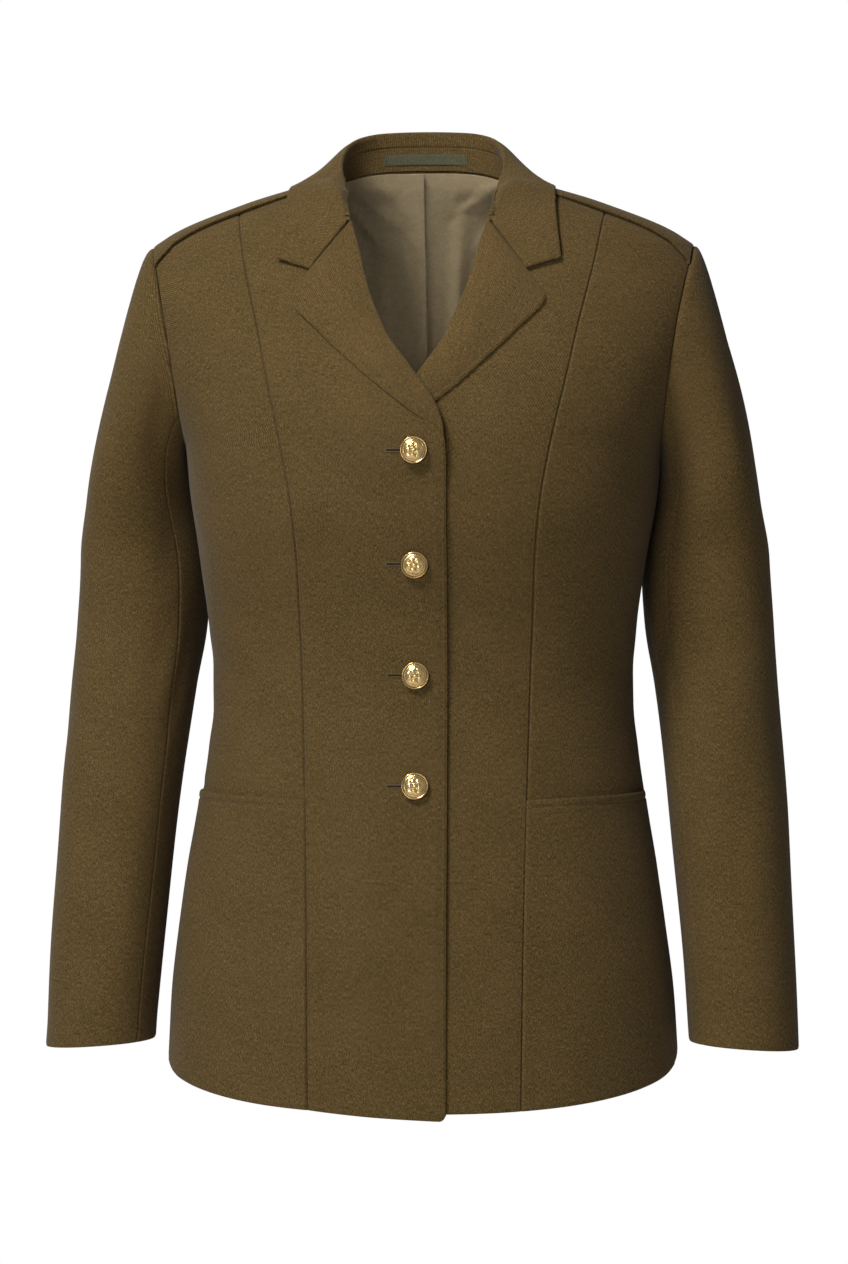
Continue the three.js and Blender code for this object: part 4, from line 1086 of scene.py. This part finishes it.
def inside_neck(u, share):
    """The inner side of the neck, from the neck seam (0) up to the fold (1)."""
    t = (u + 1) / 2
    neck, fold = neck_line(t), fold_line(t)
    inward = unit(-fold * np.array([1, 0.6, 0]))
    far = np.abs(u)
    deep = lerp(1.6, 2.4, ramp(0.6, 0.8, far)) * (1 - 0.85 * ramp(0.72, 0.99, far))
    deep = deep - 2.8 * ramp(0.8, 0.93, far)  # towards the gorge the inner leaf hides behind the fall
    return lerp(neck, fold, share) + inward * deep[..., None]


print("collar lines", len(COLLAR), "points each side of the centre back")

# %% [markdown]
# Both leaves are drawn as a few rows and then joined by the spline, which gives the fold its round
# back. The neck band is a separate piece below the inner leaf, and the blank hanger label is a strip
# of tape sewn to the band at its two ends.

# %% Collar, neck band and label
LABEL = {"half": 0.2, "low": 0.16, "high": 0.46, "proud": 0.45, "thick": 0.5, "stitch_in": 1.7}
COLLAR_STITCH_IN, BAND_STITCH_IN, BAND_HALF = 3.4, 2.2, 0.64


def collar():
    us = np.concatenate([np.linspace(0, 0.955, 76), [0.965, 0.974, 0.981, 0.986, 0.99, 0.993, 0.995]])
    us = np.concatenate([us[::-1], -us[1:]])
    control = [clear_of_body(collar_fall(us, np.full_like(us, w)))
               for w in (1, 0.9, 0.8, 0.7, 0.6, 0.5, 0.41, 0.32, 0.24, 0.17, 0.11, 0.05)]
    top = (collar_fall(us, 0 * us) + inside_neck(us, 1.0)) / 2 + np.array([0, 0, 1.0])
    control.append(top)
    control += [inside_neck(us, share) for share in (0.95, 0.9, 0.85, 0.79, 0.72, BAND_SHARE)]
    steps = np.concatenate([[0, 0.1, 0.25], np.linspace(0.4, len(control) - 1.3, 96),
                            len(control) - 1 - np.array([0.2, 0.12, 0.06, 0])])
    p = spline(np.array(control))(steps / (len(control) - 1))
    d = edge_distances(p)
    on_fall = 1 - ramp(4, 6, steps)[:, None]  # below the notch the end is free, above it a seam
    ends = np.minimum(d["left"], d["right"])
    out = FACED / 2 + rolled(d["low"], 0.9, 1.3) + 2 * stitch_groove(d["low"], COLLAR_STITCH_IN)
    out = out + on_fall * (rolled(ends, 0.7, 1.1) + stitch_groove(ends, COLLAR_STITCH_IN)) * (d["low"] > 2)
    on_gorge = ramp(4.6, 5.4, steps)[:, None] * (1 - ramp(11, 12, steps)[:, None])
    out = out + 0.6 * ditch(ends) * on_gorge + 0.35 * ditch(d["top"])
    p = shell(p, out)
    cloth("cloth_collar", p, "collar", wool_bias, thickness=FACED)
    return p


def neck_band():
    us = np.linspace(-BAND_HALF, BAND_HALF, 130)
    near_top = BAND_SHARE - np.array([0.045, 0.032, 0.022, 0.014, 0.008, 0.004])
    shares = np.concatenate([np.linspace(0.01, 0.6, 28), near_top])
    p = np.stack([inside_neck(us, share) for share in shares])
    d = edge_distances(p)
    p = shell(p, CLOTH / 2 + 0.35 * ditch(d["top"]) + stitch_groove(d["top"], BAND_STITCH_IN))
    cloth("cloth_neck_band", p, "collar_stand", wool_bias)
    return p


def hanger_label():
    us = np.linspace(-LABEL["half"], LABEL["half"], 90)
    shares = np.linspace(LABEL["low"], LABEL["high"], 16)
    p = np.stack([inside_neck(us, share) for share in shares])
    p = shell(p, CLOTH / 2 + LABEL["proud"])
    d = edge_distances(p)
    ends = np.minimum(d["left"], d["right"])
    edge = np.minimum(d["low"], d["top"])
    sag = 0.5 * ramp(0, 12, ends) - 0.35 * np.exp(-(((ends - LABEL["stitch_in"]) / 0.5) ** 2))
    p = shell(p, sag - 0.2 * np.exp(-((edge / 0.7) ** 2)))
    cloth("tape_hanger_label", p, "hanger_label", tape, thickness=LABEL["thick"])
    return p


collar_face = collar()
band_face = neck_band()
label_face = hanger_label()

# %% [markdown]
# A tailored sleeve has two pieces. Its cap is eased into the armhole, so it first comes outwards over
# the seam, rises a little at the shoulder, and then turns down the arm. Each point of the armhole
# sends out one curve that ends on the arm's first section. Below that, sections carry the sleeve down
# its bend to the cuff. Both pieces are cut from this one surface at their two seams.

# %% Sleeve surface
SLEEVE = rows(
    "z x y wide deep lean",
    (-232, 206.3, 20, 36.8, 61, 0.2), (-276, 206.8, 27.5, 44.8, 58, 0.17),
    (-326, 209.8, 24, 45.8, 54, 0.12), (-370, 214.8, 14, 44.6, 52, 0.05),
    (-437, 221.4, -1, 43.2, 50, 0), (-503, 226.2, -13, 41.6, 47.5, 0),
    (-569, 230.8, -23, 40.2, 45.5, 0), (-628, 233.8, -31, 38.9, 44, 0),
)
FRONT_SEAM, BACK_SEAM, CUFF_TILT = 138, 300, 0.07
SEAM_STEP, SEAM_LAP = 0.06, 0.15  # degrees: the under sleeve laps by a hair, so no light comes through
HEAD_RISE, HEAD_AT = 4.4, 0.16
CAP_OUT, CAP_REACH = 0.4, 62  # the cap's first row beside the armhole, and the most it runs outwards
ALLOWANCE = {"under": 1.3, "wide": 3.0}
ARM_TOP_Z, ARM_END_Z = SLEEVE[0]["z"], SLEEVE[-1]["z"]
arm = {key: column(SLEEVE, key) for key in ("x", "y", "wide", "deep", "lean")}


def armhole_line(back):
    """Half of the armhole seam from the shoulder point to the underarm, by its own length."""
    t = (1 - np.cos(np.linspace(0, math.pi, 1201))) / 2
    z = lerp(SHOULDER_Z, UNDERARM_Z, t)
    p = np.stack([side(z), (1 if back else -1) * armhole_depth(z, back), z], -1)
    far = np.concatenate([[0], np.cumsum(np.linalg.norm(np.diff(p, axis=0), axis=-1))])
    return lambda share: np.stack([np.interp(share * far[-1], far, p[:, k]) for k in range(3)], -1)


armhole_front, armhole_back = armhole_line(False), armhole_line(True)


def armhole_at(turn):
    share = np.where(turn <= 180, turn, 360 - turn) / 180
    return np.where((turn <= 180)[..., None], armhole_front(share), armhole_back(share))


def arm_at(turn, z):
    c, s = np.cos(np.radians(turn)), np.sin(np.radians(turn))
    r = (np.abs(c) ** 2.2 + np.abs(s) ** 2.2) ** (-1 / 2.2)
    across, along = arm["wide"](z) * r * c, -arm["deep"](z) * r * s
    tilt = CUFF_TILT * across * (1 - ramp(ARM_END_Z, -520, z))
    return np.stack([arm["x"](z) + across - arm["lean"](z) * along, arm["y"](z) + along, z - tilt], -1)


def cap_at(turn, t):
    under = (1 - np.cos(np.radians(turn))) / 2
    seam = armhole_at(turn)
    start = seam + np.stack([CAP_OUT + 0 * under, 0 * under, lerp(CAP_OUT, 0.3, under)], -1)
    end = arm_at(turn, ARM_TOP_Z + 0 * turn)
    reach = np.linalg.norm(end - start, axis=-1, keepdims=True)
    below = ramp(0.72, 1, under)
    out = unit(np.stack([1 - 0.55 * below, seam[..., 1] * 0.004, lerp(0.5, -0.25, under) - 0.75 * below], -1))
    leave = out * np.minimum(reach, CAP_REACH) * lerp(0.62, 0.6, under)[..., None]
    down = unit(arm_at(turn, ARM_TOP_Z - 2 + 0 * turn) - end)
    arrive = down * reach * lerp(1.3, 1, under)[..., None]
    k = t[..., None]
    p = start * (2 * k**3 - 3 * k**2 + 1) + leave * (k**3 - 2 * k**2 + k)
    p = p + end * (3 * k**2 - 2 * k**3) + arrive * (k**3 - k**2)
    p[..., 2] += HEAD_RISE * (1 - under) ** 3 * (t / HEAD_AT) * np.exp(1 - t / HEAD_AT)
    return p


def allowance(turn):
    """The seam allowance of the cap: it turns in along the armhole and lies under the body panel."""
    under = (1 - np.cos(np.radians(turn))) / 2
    seam = armhole_at(turn)
    z = np.clip(seam[..., 2], UNDERARM_Z, SHOULDER_Z - 8)
    back = seam[..., 1] > 0
    beside = np.degrees(np.arctan2(side(z), armhole_depth(z, back)))
    normal = body_normal(np.where(back, 180 - beside, beside), z)
    normal = unit(lerp(normal, np.array([0.45, 0, 0.9]), ((1 - under) ** 8)[..., None]))
    along = unit(armhole_at((turn + 1) % 360) - armhole_at((turn - 1) % 360))
    down = seam + np.array([CAP_OUT, 0, 0.3]) - normal * ALLOWANCE["under"]
    return np.stack([down, down + np.cross(along, normal) * ALLOWANCE["wide"]])


SLEEVE_MM_PER_DEGREE = 0.85
# Across is measured round the sleeve from its outer side, the front being at 76.
SLEEVE_CREASES = {
    1: rows(
        CREASE,
        ((128, -300), (112, -392), 7, -1.9), ((146, -318), (130, -384), 6, -1.5),
        ((96, -330), (70, -372), 9, -1.3), ((118, -236), (100, -300), 10, -1.5),
        ((20, -130), (10, -240), 7, 1.8), ((44, -120), (36, -220), 11, -1.3),
        ((60, -420), (78, -520), 14, -1.3), ((110, -440), (96, -560), 12, 1.1),
        ((30, -380), (12, -440), 12, -1.0), ((90, -150), (100, -220), 12, -1.3),
        ((250, -300), (220, -350), 11, -1.9), ((262, -340), (214, -380), 11, -1.7),
        ((286, -180), (276, -260), 12, -1.4), ((240, -430), (232, -560), 14, -1.3),
        ((200, -270), (190, -360), 9, -1.5), ((180, -400), (176, -520), 12, 1.1),
    ),
    -1: rows(
        CREASE,
        ((134, -306), (118, -400), 7, -1.7), ((108, -316), (96, -380), 8, -1.6),
        ((150, -290), (138, -360), 7, -1.4), ((88, -344), (56, -386), 10, -1.1),
        ((124, -232), (104, -290), 10, -1.4), ((50, -112), (40, -200), 12, -1.2),
        ((24, -160), (18, -260), 10, 1.0), ((56, -430), (72, -540), 14, -1.2),
        ((104, -450), (92, -580), 12, 1.0), ((28, -370), (8, -420), 12, -0.9),
        ((96, -140), (106, -210), 11, -1.4), ((246, -296), (216, -342), 11, -1.8),
        ((260, -334), (210, -372), 11, -1.8), ((280, -190), (270, -270), 12, -1.3),
        ((238, -420), (230, -550), 14, 1.3), ((196, -280), (188, -352), 9, -1.4),
    ),
}


def sleeve_piece(kind, word, s, start, stop):
    cols = crowded((stop - start) * SLEEVE_MM_PER_DEGREE)
    arm_z = np.concatenate([[ARM_END_Z, ARM_END_Z + 0.5, ARM_END_Z + 1.3, ARM_END_Z + 2.6],
                            np.linspace(ARM_END_Z + 4, ARM_TOP_Z, 105)])
    cap_t = np.linspace(1, 0, 62)[1:] ** 1.6
    turn = lerp(start, stop, 1 - cols)[None, :] % 360
    lower = arm_at(turn + 0 * arm_z[:, None], arm_z[:, None] + 0 * turn)
    upper = cap_at(turn + 0 * cap_t[:, None], cap_t[:, None] + 0 * turn)
    p = np.concatenate([lower, upper])
    d = edge_distances(p)
    x, z = turn * SLEEVE_MM_PER_DEGREE + 0 * p[..., 2], p[..., 2]
    relief = creases(SLEEVE_CREASES[s], x, z)
    relief += 0.5 * np.sin(x / 23 + z / 61 + s) * np.sin(z / 47 + 0.6 * s)
    relief *= ramp(0, 14, d["top"]) * ramp(0, 20, d["low"])
    out = CLOTH / 2 + relief + 0.6 * (ditch(d["left"]) + ditch(d["right"]) + ditch(d["top"]))
    p = shell(p, out + rolled(d["low"]))
    p = np.concatenate([p, allowance(turn[0])])
    cloth(f"cloth_{kind}_sleeve_{word}", p, f"{kind}_sleeve_{word}", wool, mirrored=s < 0)
    return p


for word, s in SIDES:
    sleeve_piece("top", word, s, BACK_SEAM - 360 + SEAM_STEP, FRONT_SEAM - SEAM_STEP)
    sleeve_piece("under", word, s, FRONT_SEAM - SEAM_LAP, BACK_SEAM + SEAM_LAP)

# %% [markdown]
# The shoulder strap is a double strip over the top of the shoulder, caught in the sleeve seam and
# running in under the collar. It follows the body's own surface, lifted off it, so it bends over the
# shoulder as stitched cloth does. Its edges are pressed and topstitched.

# %% Shoulder straps
STRAP = {"outer": 54, "inner": 46, "seam_x": 195.3, "inner_x": 80, "point": 9, "stitch_in": 3.0}
STRAP_LIFT, STRAP_END_LIFT = ON_CHEST + 0.5, 2.0


def strap(word, s):
    u, v = np.meshgrid(crowded(112, step=3.2), crowded(43, step=2.4))
    half = lerp(STRAP["inner"], STRAP["outer"], u) / 2
    y = lerp(-half, half, v)
    armhole = STRAP["seam_x"] - 0.0032 * y * y
    tip = STRAP["inner_x"] + STRAP["point"] * (np.abs(y) / half) ** 1.5
    x = lerp(tip, armhole, u)
    p = over_shoulder(x, y, lerp(STRAP_END_LIFT, STRAP_LIFT, ramp(84, 126, x))[..., None])
    d = edge_distances(p)
    edge = np.minimum(np.minimum(d["low"], d["top"]), d["left"])
    groove = 1.4 * stitch_groove(edge, STRAP["stitch_in"])
    p = shell(p, FACED / 2 + rolled(edge, 0.6, 0.9) + groove + ditch(d["right"]))
    cloth(f"cloth_shoulder_strap_{word}", p, f"shoulder_strap_{word}", wool,
          thickness=FACED - 0.2, mirrored=s < 0)
    return p


strap_faces = {s: strap(word, s) for word, s in SIDES}

# %% [markdown]
# Inside the back hangs a satin lining in two halves, with a pleat at the centre that gives room to
# move. The wearer's right half lies over the left one, and the pleat opens towards the hem. Satin
# shows every strain, so it has more and sharper creases than the wool, dragging from its top corners.

# %% Back lining
PLEAT, PLEAT_LAP, LINING_IN, LINING_HANG = 12, 2.0, 4.2, 2.0
LINING_DROP, HEM_SHARE = 0.6, 25 / 440 * SKIRT_SHARE
TROUGH, RIDGE = 2.8, 1.3
LINING_CREASES = {
    1: rows(
        CREASE,
        ((66, -4), (38, -40), 4, -1.3), ((60, 4), (20, -16), 3.2, -1.1), ((40, 6), (10, -30), 4, 0.9),
        ((74, -30), (50, -96), 6, -1.4), ((26, -20), (18, -150), 7, -1.5), ((44, -50), (34, -190), 8, 1.4),
        ((60, -80), (58, -220), 8, -1.4), ((12, -60), (8, -240), 5, 1.1), ((90, -60), (84, -200), 9, 1.3),
    ),
    -1: rows(
        CREASE,
        ((64, -6), (30, -44), 4, -1.4), ((58, 2), (24, -24), 3.2, -1.2), ((34, 5), (12, -22), 3.6, -0.9),
        ((72, -34), (46, -104), 6, -1.5), ((20, -30), (15, -170), 6, 1.3), ((36, -46), (30, -200), 8, -1.5),
        ((54, -76), (52, -230), 8, 1.4), ((84, -64), (80, -210), 9, -1.3), ((28, -10), (8, -40), 3.4, -0.8),
    ),
}


def back_lining(word, s):
    centre = -PLEAT if s > 0 else 1.5
    low_rows, high_rows = [HEM_SHARE, HEM_SHARE + 0.002], [0.995, 1]
    vs = np.concatenate([low_rows, np.linspace(HEM_SHARE + 0.006, 0.99, 150), high_rows])

    def inner_edge(v):
        return place(centre + 0 * v, level(v, hem_z(180), NAPE_Z - LINING_DROP), True)

    def top_edge(u):
        top = back_top_at(lerp(PRINCESS_TOP, centre, u))
        return {"x": top["x"], "z": top["z"] - LINING_DROP}

    spots = panel_spots(seam_back_princess, inner_edge, "x", crowded(95, step=2.6), vs, True, top_edge)
    x = on_body(spots["turn"], spots["z"])[..., 0]
    lift = -LINING_IN - LINING_HANG * ramp(0, -50, spots["z"])
    if s < 0:
        opens = 1.5 + 4.5 * ramp(0, -190, spots["z"])
        lift = lift - PLEAT_LAP * (1 - ramp(8, 34, x)) - opens * (1 - ramp(1.5, 15, x)) + 1.0
    p = lifted(spots["turn"], spots["z"], lift)[:, ::-1]
    d = edge_distances(p)
    sharp = [{**c, "wide": 0.7 * c["wide"]} for c in LINING_CREASES[s]]
    relief = creases(sharp, x, spots["z"])[:, ::-1]
    relief = relief * ramp(0, 5, d["top"]) * (1 - 0.85 * (1 - ramp(0, 10, d["left"])))
    # The grid faces inwards, so a ridge goes out towards the wool and is kept lower than a trough.
    p = shell(p, LINING / 2 - relief * np.where(relief > 0, RIDGE, TROUGH))
    cloth(f"satin_back_lining_{word}", p, f"back_lining_{word}", satin,
          thickness=0.7, mirrored=s < 0)


for word, s in SIDES:
    back_lining(word, s)

# %% [markdown]
# A dress button is struck from thin brass and gilded. A grid in rings and spokes is lathed to the
# button's profile and then gets its relief: a raised rim, a ring of beads and a rosette with petals.
# The height of the relief, raised on the rim and lowered in the groove inside it, is kept as an attribute,
# and from it the gilt is painted dark brown in the hollows and bright gold on the raised parts: painted
# shade and painted highlight.

# %% Gilt
def gilt_metal():
    material, nodes, links = tree_of("gilt_brass")
    shader = nodes["Principled BSDF"]
    high = nodes.new("ShaderNodeAttribute")
    high.attribute_name = "relief"
    coord = nodes.new("ShaderNodeTexCoord")
    worn = noise(nodes, links, coord.outputs["Object"], 700, 3.0)
    # Painted shade and highlight: dark brown where the relief attribute is low, bright gold where it is high.
    fac = remap(nodes, links, high.outputs["Fac"], 0.15, 0.75, 0.0, 1.0)
    tone = blend_colours(nodes, links, fac, (0.2, 0.1, 0.024, 1), (0.96, 0.68, 0.3, 1))
    links.new(tone, shader.inputs["Base Color"])
    links.new(remap(nodes, links, worn, 0.3, 0.7, 0.13, 0.22), shader.inputs["Roughness"])
    shader.inputs["Metallic"].default_value = 1.0
    fine = nodes.new("ShaderNodeBump")
    fine.inputs["Strength"].default_value = 0.12
    fine.inputs["Distance"].default_value = 0.0001
    links.new(worn, fine.inputs["Height"])
    links.new(fine.outputs["Normal"], shader.inputs["Normal"])
    return material


gilt = gilt_metal()

# %% Buttons
BUTTON_TOP_Z, BUTTON_STEP, BUTTON_R, BUTTON_SEAT = -202.6, 79, 9.6, 0.7
PROFILE_POINTS, SPOKES, FACE_FROM = 74, 120, 36
BUTTON_PROFILE = [(0.01, -0.6), (2.5, -0.6), (2.5, 1.3), (8.2, 1.35), (9.2, 1.8), (BUTTON_R, 2.5),
                  (9.45, 3.05), (9.0, 3.25), (8.55, 3.05), (8.2, 2.95), (7.6, 3.25), (6.6, 3.75),
                  (5.2, 4.4), (3.6, 4.9), (1.8, 5.15), (0.01, 5.2)]


def button(number):
    z = BUTTON_TOP_Z - (number - 1) * BUTTON_STEP
    axis = body_normal(np.array([0.0]), np.array([z]))[0]
    off_body = overlap_lift(np.array([0.0]), np.array([z]), -1) + CLOTH / 2 + BUTTON_SEAT
    seat = lifted(np.array([0.0]), np.array([z]), off_body)[0]
    seat[0] = 0
    profile = spline([(r, 0, h) for r, h in BUTTON_PROFILE])(np.linspace(0, 1, PROFILE_POINTS))
    angle = np.linspace(0, 2 * math.pi, SPOKES + 1)
    r, h = profile[:, 0][:, None] + 0 * angle, profile[:, 2][:, None] + 0 * angle
    face = (np.arange(PROFILE_POINTS) > FACE_FROM)[:, None]
    beads = 0.3 * np.abs(np.cos(20 * angle)) * np.exp(-(((r - 7.55) / 0.42) ** 2))
    petals = (0.5 + 0.5 * np.cos(5 * angle + 0.6)) ** 0.7 * np.exp(-(((r - 4.0) / 1.5) ** 2))
    leaves = (0.5 - 0.5 * np.cos(5 * angle + 0.6)) * np.exp(-(((r - 5.8) / 0.8) ** 2))
    boss = np.exp(-((r / 1.5) ** 2)) - 0.5 * np.exp(-(((r - 2.2) / 0.4) ** 2))
    relief = face * (beads + 0.6 * petals + 0.42 * leaves + 0.5 * boss)
    right = unit(np.cross(axis, np.array([0, 0, 1.0])))
    up = np.cross(right, axis)
    p = (seat + r[..., None] * (np.cos(angle)[:, None] * right + np.sin(angle)[:, None] * up)
         + (h + relief)[..., None] * axis)
    piece = grid_object(f"gilt_button_{number}", p[:, ::-1], uv=np.stack([r, h], -1) * MM)
    # Painted highlight and shade: the tone rises with the relief and on the rim, and falls in the groove
    # inside it.
    rim = face * np.exp(-(((r - 9.1) / 0.35) ** 2))
    moat_shade = face * np.exp(-(((r - 8.35) / 0.25) ** 2))
    tone = np.clip(0.45 + 1.1 * relief + 0.5 * rim - 0.35 * moat_shade, 0, 1)
    high = piece.data.attributes.new("relief", "FLOAT", "POINT")
    high.data.foreach_set("value", tone[:, ::-1].astype(np.float32).ravel())
    bpy.ops.object.mode_set(mode="EDIT")
    bpy.ops.mesh.select_all(action="SELECT")
    bpy.ops.mesh.remove_doubles(threshold=0.00004)
    bpy.ops.mesh.normals_make_consistent(inside=False)
    bpy.ops.object.mode_set(mode="OBJECT")
    bpy.ops.object.shade_smooth_by_angle(angle=math.radians(60))
    finish_piece(piece, gilt, f"button_{number}")
    print(piece.name, "seated at", [round(float(c), 1) for c in seat], len(piece.data.polygons), "faces")


for number in range(1, 5):
    button(number)

# %% [markdown]
# Thread is made of many tiny shapes, so one small bead is modelled and then copied along the lines
# where it is sewn, all joined in one mesh. Each copy is turned to its line and to the cloth's normal.
# The same helper whips the buttonholes, where the beads lie across the slit's edge instead of along.

# %% Stitches
def bead_shape():
    bpy.ops.object.select_all(action="DESELECT")
    bpy.ops.mesh.primitive_uv_sphere_add(segments=8, ring_count=5, radius=0.5)
    bead = bpy.context.object
    verts = np.array([v.co for v in bead.data.vertices])
    faces = [tuple(p.vertices) for p in bead.data.polygons]
    bpy.data.objects.remove(bead)
    return verts, faces


BEAD_VERTS, BEAD_FACES = bead_shape()


def beads_along(name, at, along, normal, size, material, slot):
    """One mesh of beads at the points at, in mm, with size = (length along, width, height)."""
    along, normal = unit(along - normal * np.sum(along * normal, -1, keepdims=True)), unit(normal)
    across = np.cross(normal, along)
    b = BEAD_VERTS * np.array(size)
    verts = (at[:, None] + b[None, :, :1] * along[:, None] + b[None, :, 1:2] * across[:, None]
             + b[None, :, 2:] * normal[:, None])
    step = len(BEAD_VERTS)
    faces = [tuple(i * step + k for k in face) for i in range(len(at)) for face in BEAD_FACES]
    mesh = bpy.data.meshes.new(name)
    mesh.from_pydata([tuple(v) for v in (verts.reshape(-1, 3) * MM)], [], faces)
    for polygon in mesh.polygons:
        polygon.use_smooth = True
    piece = bpy.data.objects.new(name, mesh)
    bpy.context.scene.collection.objects.link(piece)
    print(name, len(at), "beads")
    return finish_piece(piece, material)


def line_inside(p, edge, inward, start=0.0, stop=1.0):
    """The line on a face of cloth at a distance inward from one of its edges, and the normals."""
    d, n = edge_distances(p)[edge], grid_normals(p)
    if edge in ("low", "top"):
        d, p, n = d.T, p.transpose(1, 0, 2), n.transpose(1, 0, 2)
    if edge in ("right", "top"):
        d, p, n = d[:, ::-1], p[:, ::-1], n[:, ::-1]
    take = slice(int(start * len(d)), max(int(stop * len(d)), 2))

    def at_inward(rows_of):
        return np.array([[np.interp(inward, dd, q[:, k]) for k in range(3)]
                         for dd, q in zip(d[take], rows_of[take])])

    return at_inward(p), at_inward(n)


def spaced(line, normals, step, mirrored=False, lift=0.05):
    """Points at equal steps along a line, the line's direction there, and the cloth's normal."""
    far = np.concatenate([[0], np.cumsum(np.linalg.norm(np.diff(line, axis=0), axis=-1))])
    at = np.arange(step / 2, far[-1], step)

    def pick(q):
        return np.stack([np.interp(at, far, q[:, k]) for k in range(3)], -1)

    points, normal = pick(line), unit(pick(normals))
    along = np.gradient(points, axis=0)
    flip = np.array([-1 if mirrored else 1, 1, 1])
    return (points + normal * lift) * flip, along * flip, normal * flip


FAR_STEP, CLOSE_STEP = 5.0, 2.6
BREAK_ROW = 0.56  # the share of the front edge that lies below the lapel's break


def stitch_rows(name, sewn, size=(1.5, 0.42, 0.3), material=thread, step=FAR_STEP):
    parts = [spaced(*line_inside(p, edge, inward, start, stop), step, mirrored)
             for p, edge, inward, start, stop, mirrored in sewn]
    joined = [np.concatenate([part[k] for part in parts]) for k in range(3)]
    beads_along(name, *joined, size, material, "wool")


for word, s in SIDES:
    front_rows = [(front_faces[s], "right", STITCH_ROW["in"], 0.01, 0.995, s < 0),
                  (front_faces[s], "left", EDGE_STITCH_IN, 0.01, BREAK_ROW, s < 0),
                  (lapel_faces[s], "right", LAPEL_STITCH_IN, 0.02, 1.0, s < 0)]
    stitch_rows(f"stitches_front_{word}", front_rows)
    pocket_row = (pocket_faces[s], "top", POCKET["stitch_down"], 0.02, 0.98, s < 0)
    stitch_rows(f"stitches_pocket_{word}", [pocket_row], size=(1.7, 0.5, 0.36), material=thread_pale,
                step=CLOSE_STEP)
    strap_rows = [(strap_faces[s], edge, STRAP["stitch_in"], 0.03, 0.97, s < 0) for edge in ("low", "top")]
    stitch_rows(f"stitches_strap_{word}", strap_rows, size=(1.7, 0.4, 0.3), step=CLOSE_STEP)
stitch_rows("stitches_collar", [(collar_face, "low", COLLAR_STITCH_IN, 0.015, 0.985, False)])
stitch_rows("stitches_neck_band", [(band_face, "top", BAND_STITCH_IN, 0.02, 0.98, False)], step=CLOSE_STEP)
label_rows = [(label_face, edge, LABEL["stitch_in"], 0.0, 1.0, False) for edge in ("left", "right")]
stitch_rows("stitches_label", label_rows, size=(1.0, 0.5, 0.4), step=1.1)

# %% [markdown]
# A worked buttonhole is a cut with thread whipped close together round its edge. The ring of thread
# is a racetrack shape laid on the front, and a thin near-black strip of painted shade fills the cut,
# so that it reads as a slit. Each one ends under its button, a little past the shank.

# %% Buttonholes
HOLE = {"outer_x": 19.3, "inner_x": -3.0, "half": 0.75, "thread": 1.25}


def over_front_point(x, z):
    """On the outer face of the front that laps over, at x towards the wearer's right."""
    turn = np.sign(x) * turn_at(np.abs(x), z, False)
    lift = overlap_lift(np.abs(turn), z, -1) + CLOTH / 2 + body_relief(turn, z, -1)
    p = lifted(np.abs(turn), z, lift)
    p[..., 0] = -x
    n = body_normal(np.abs(turn), z)
    n[..., 0] = -np.sign(x) * n[..., 0]
    return p, n


def buttonhole(number):
    z0 = BUTTON_TOP_Z - (number - 1) * BUTTON_STEP
    straight = HOLE["outer_x"] - HOLE["inner_x"]
    runs = np.arange(0, straight, 0.55)
    ends = np.radians(np.arange(-90, 91, 24))
    half = HOLE["half"]
    round_end = HOLE["outer_x"] + half * np.cos(ends)
    x = np.concatenate([HOLE["inner_x"] + runs, round_end, HOLE["outer_x"] - runs])
    z = z0 + np.concatenate([0 * runs - half, half * np.sin(ends), 0 * runs + half])
    out_x = np.concatenate([0 * runs, np.cos(ends), 0 * runs])
    out_z = np.concatenate([0 * runs - 1, np.sin(ends), 0 * runs + 1])
    p, n = over_front_point(x, z)
    along = np.stack([-out_x, 0 * out_x, out_z], -1)
    beads_along(f"buttonhole_thread_{number}", p + along * 0.35 + n * 0.12, along, n,
                (HOLE["thread"], 0.56, 0.55), thread_whip, "wool")
    us, vs = np.linspace(HOLE["outer_x"], HOLE["inner_x"], 12), np.linspace(-0.42, 0.42, 3)
    x, z = np.meshgrid(us, vs + z0)
    p, n = over_front_point(x, z)
    slit = grid_object(f"buttonhole_slit_{number}", p + n * 0.16)
    thicken(slit, 0.25, round_edge=0)
    finish_piece(slit, slit_painted_shade)


for number in range(1, 5):
    buttonhole(number)

# %% [markdown]
# Last, the visual model's box is compared with the CAD model's, and the differences are printed.
# Blender may stand proud of it only by the little that cloth needs.

# %% Size and finish
low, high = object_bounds()
for name, a, b in (("low", cad_low, low), ("high", cad_high, high)):
    print(name, [round((y - x) * 1000, 1) for x, y in zip(a, b)], "mm from the CAD box")
print(len(pieces), "pieces,", sum(len(o.data.polygons) for o in pieces.values()), "faces")
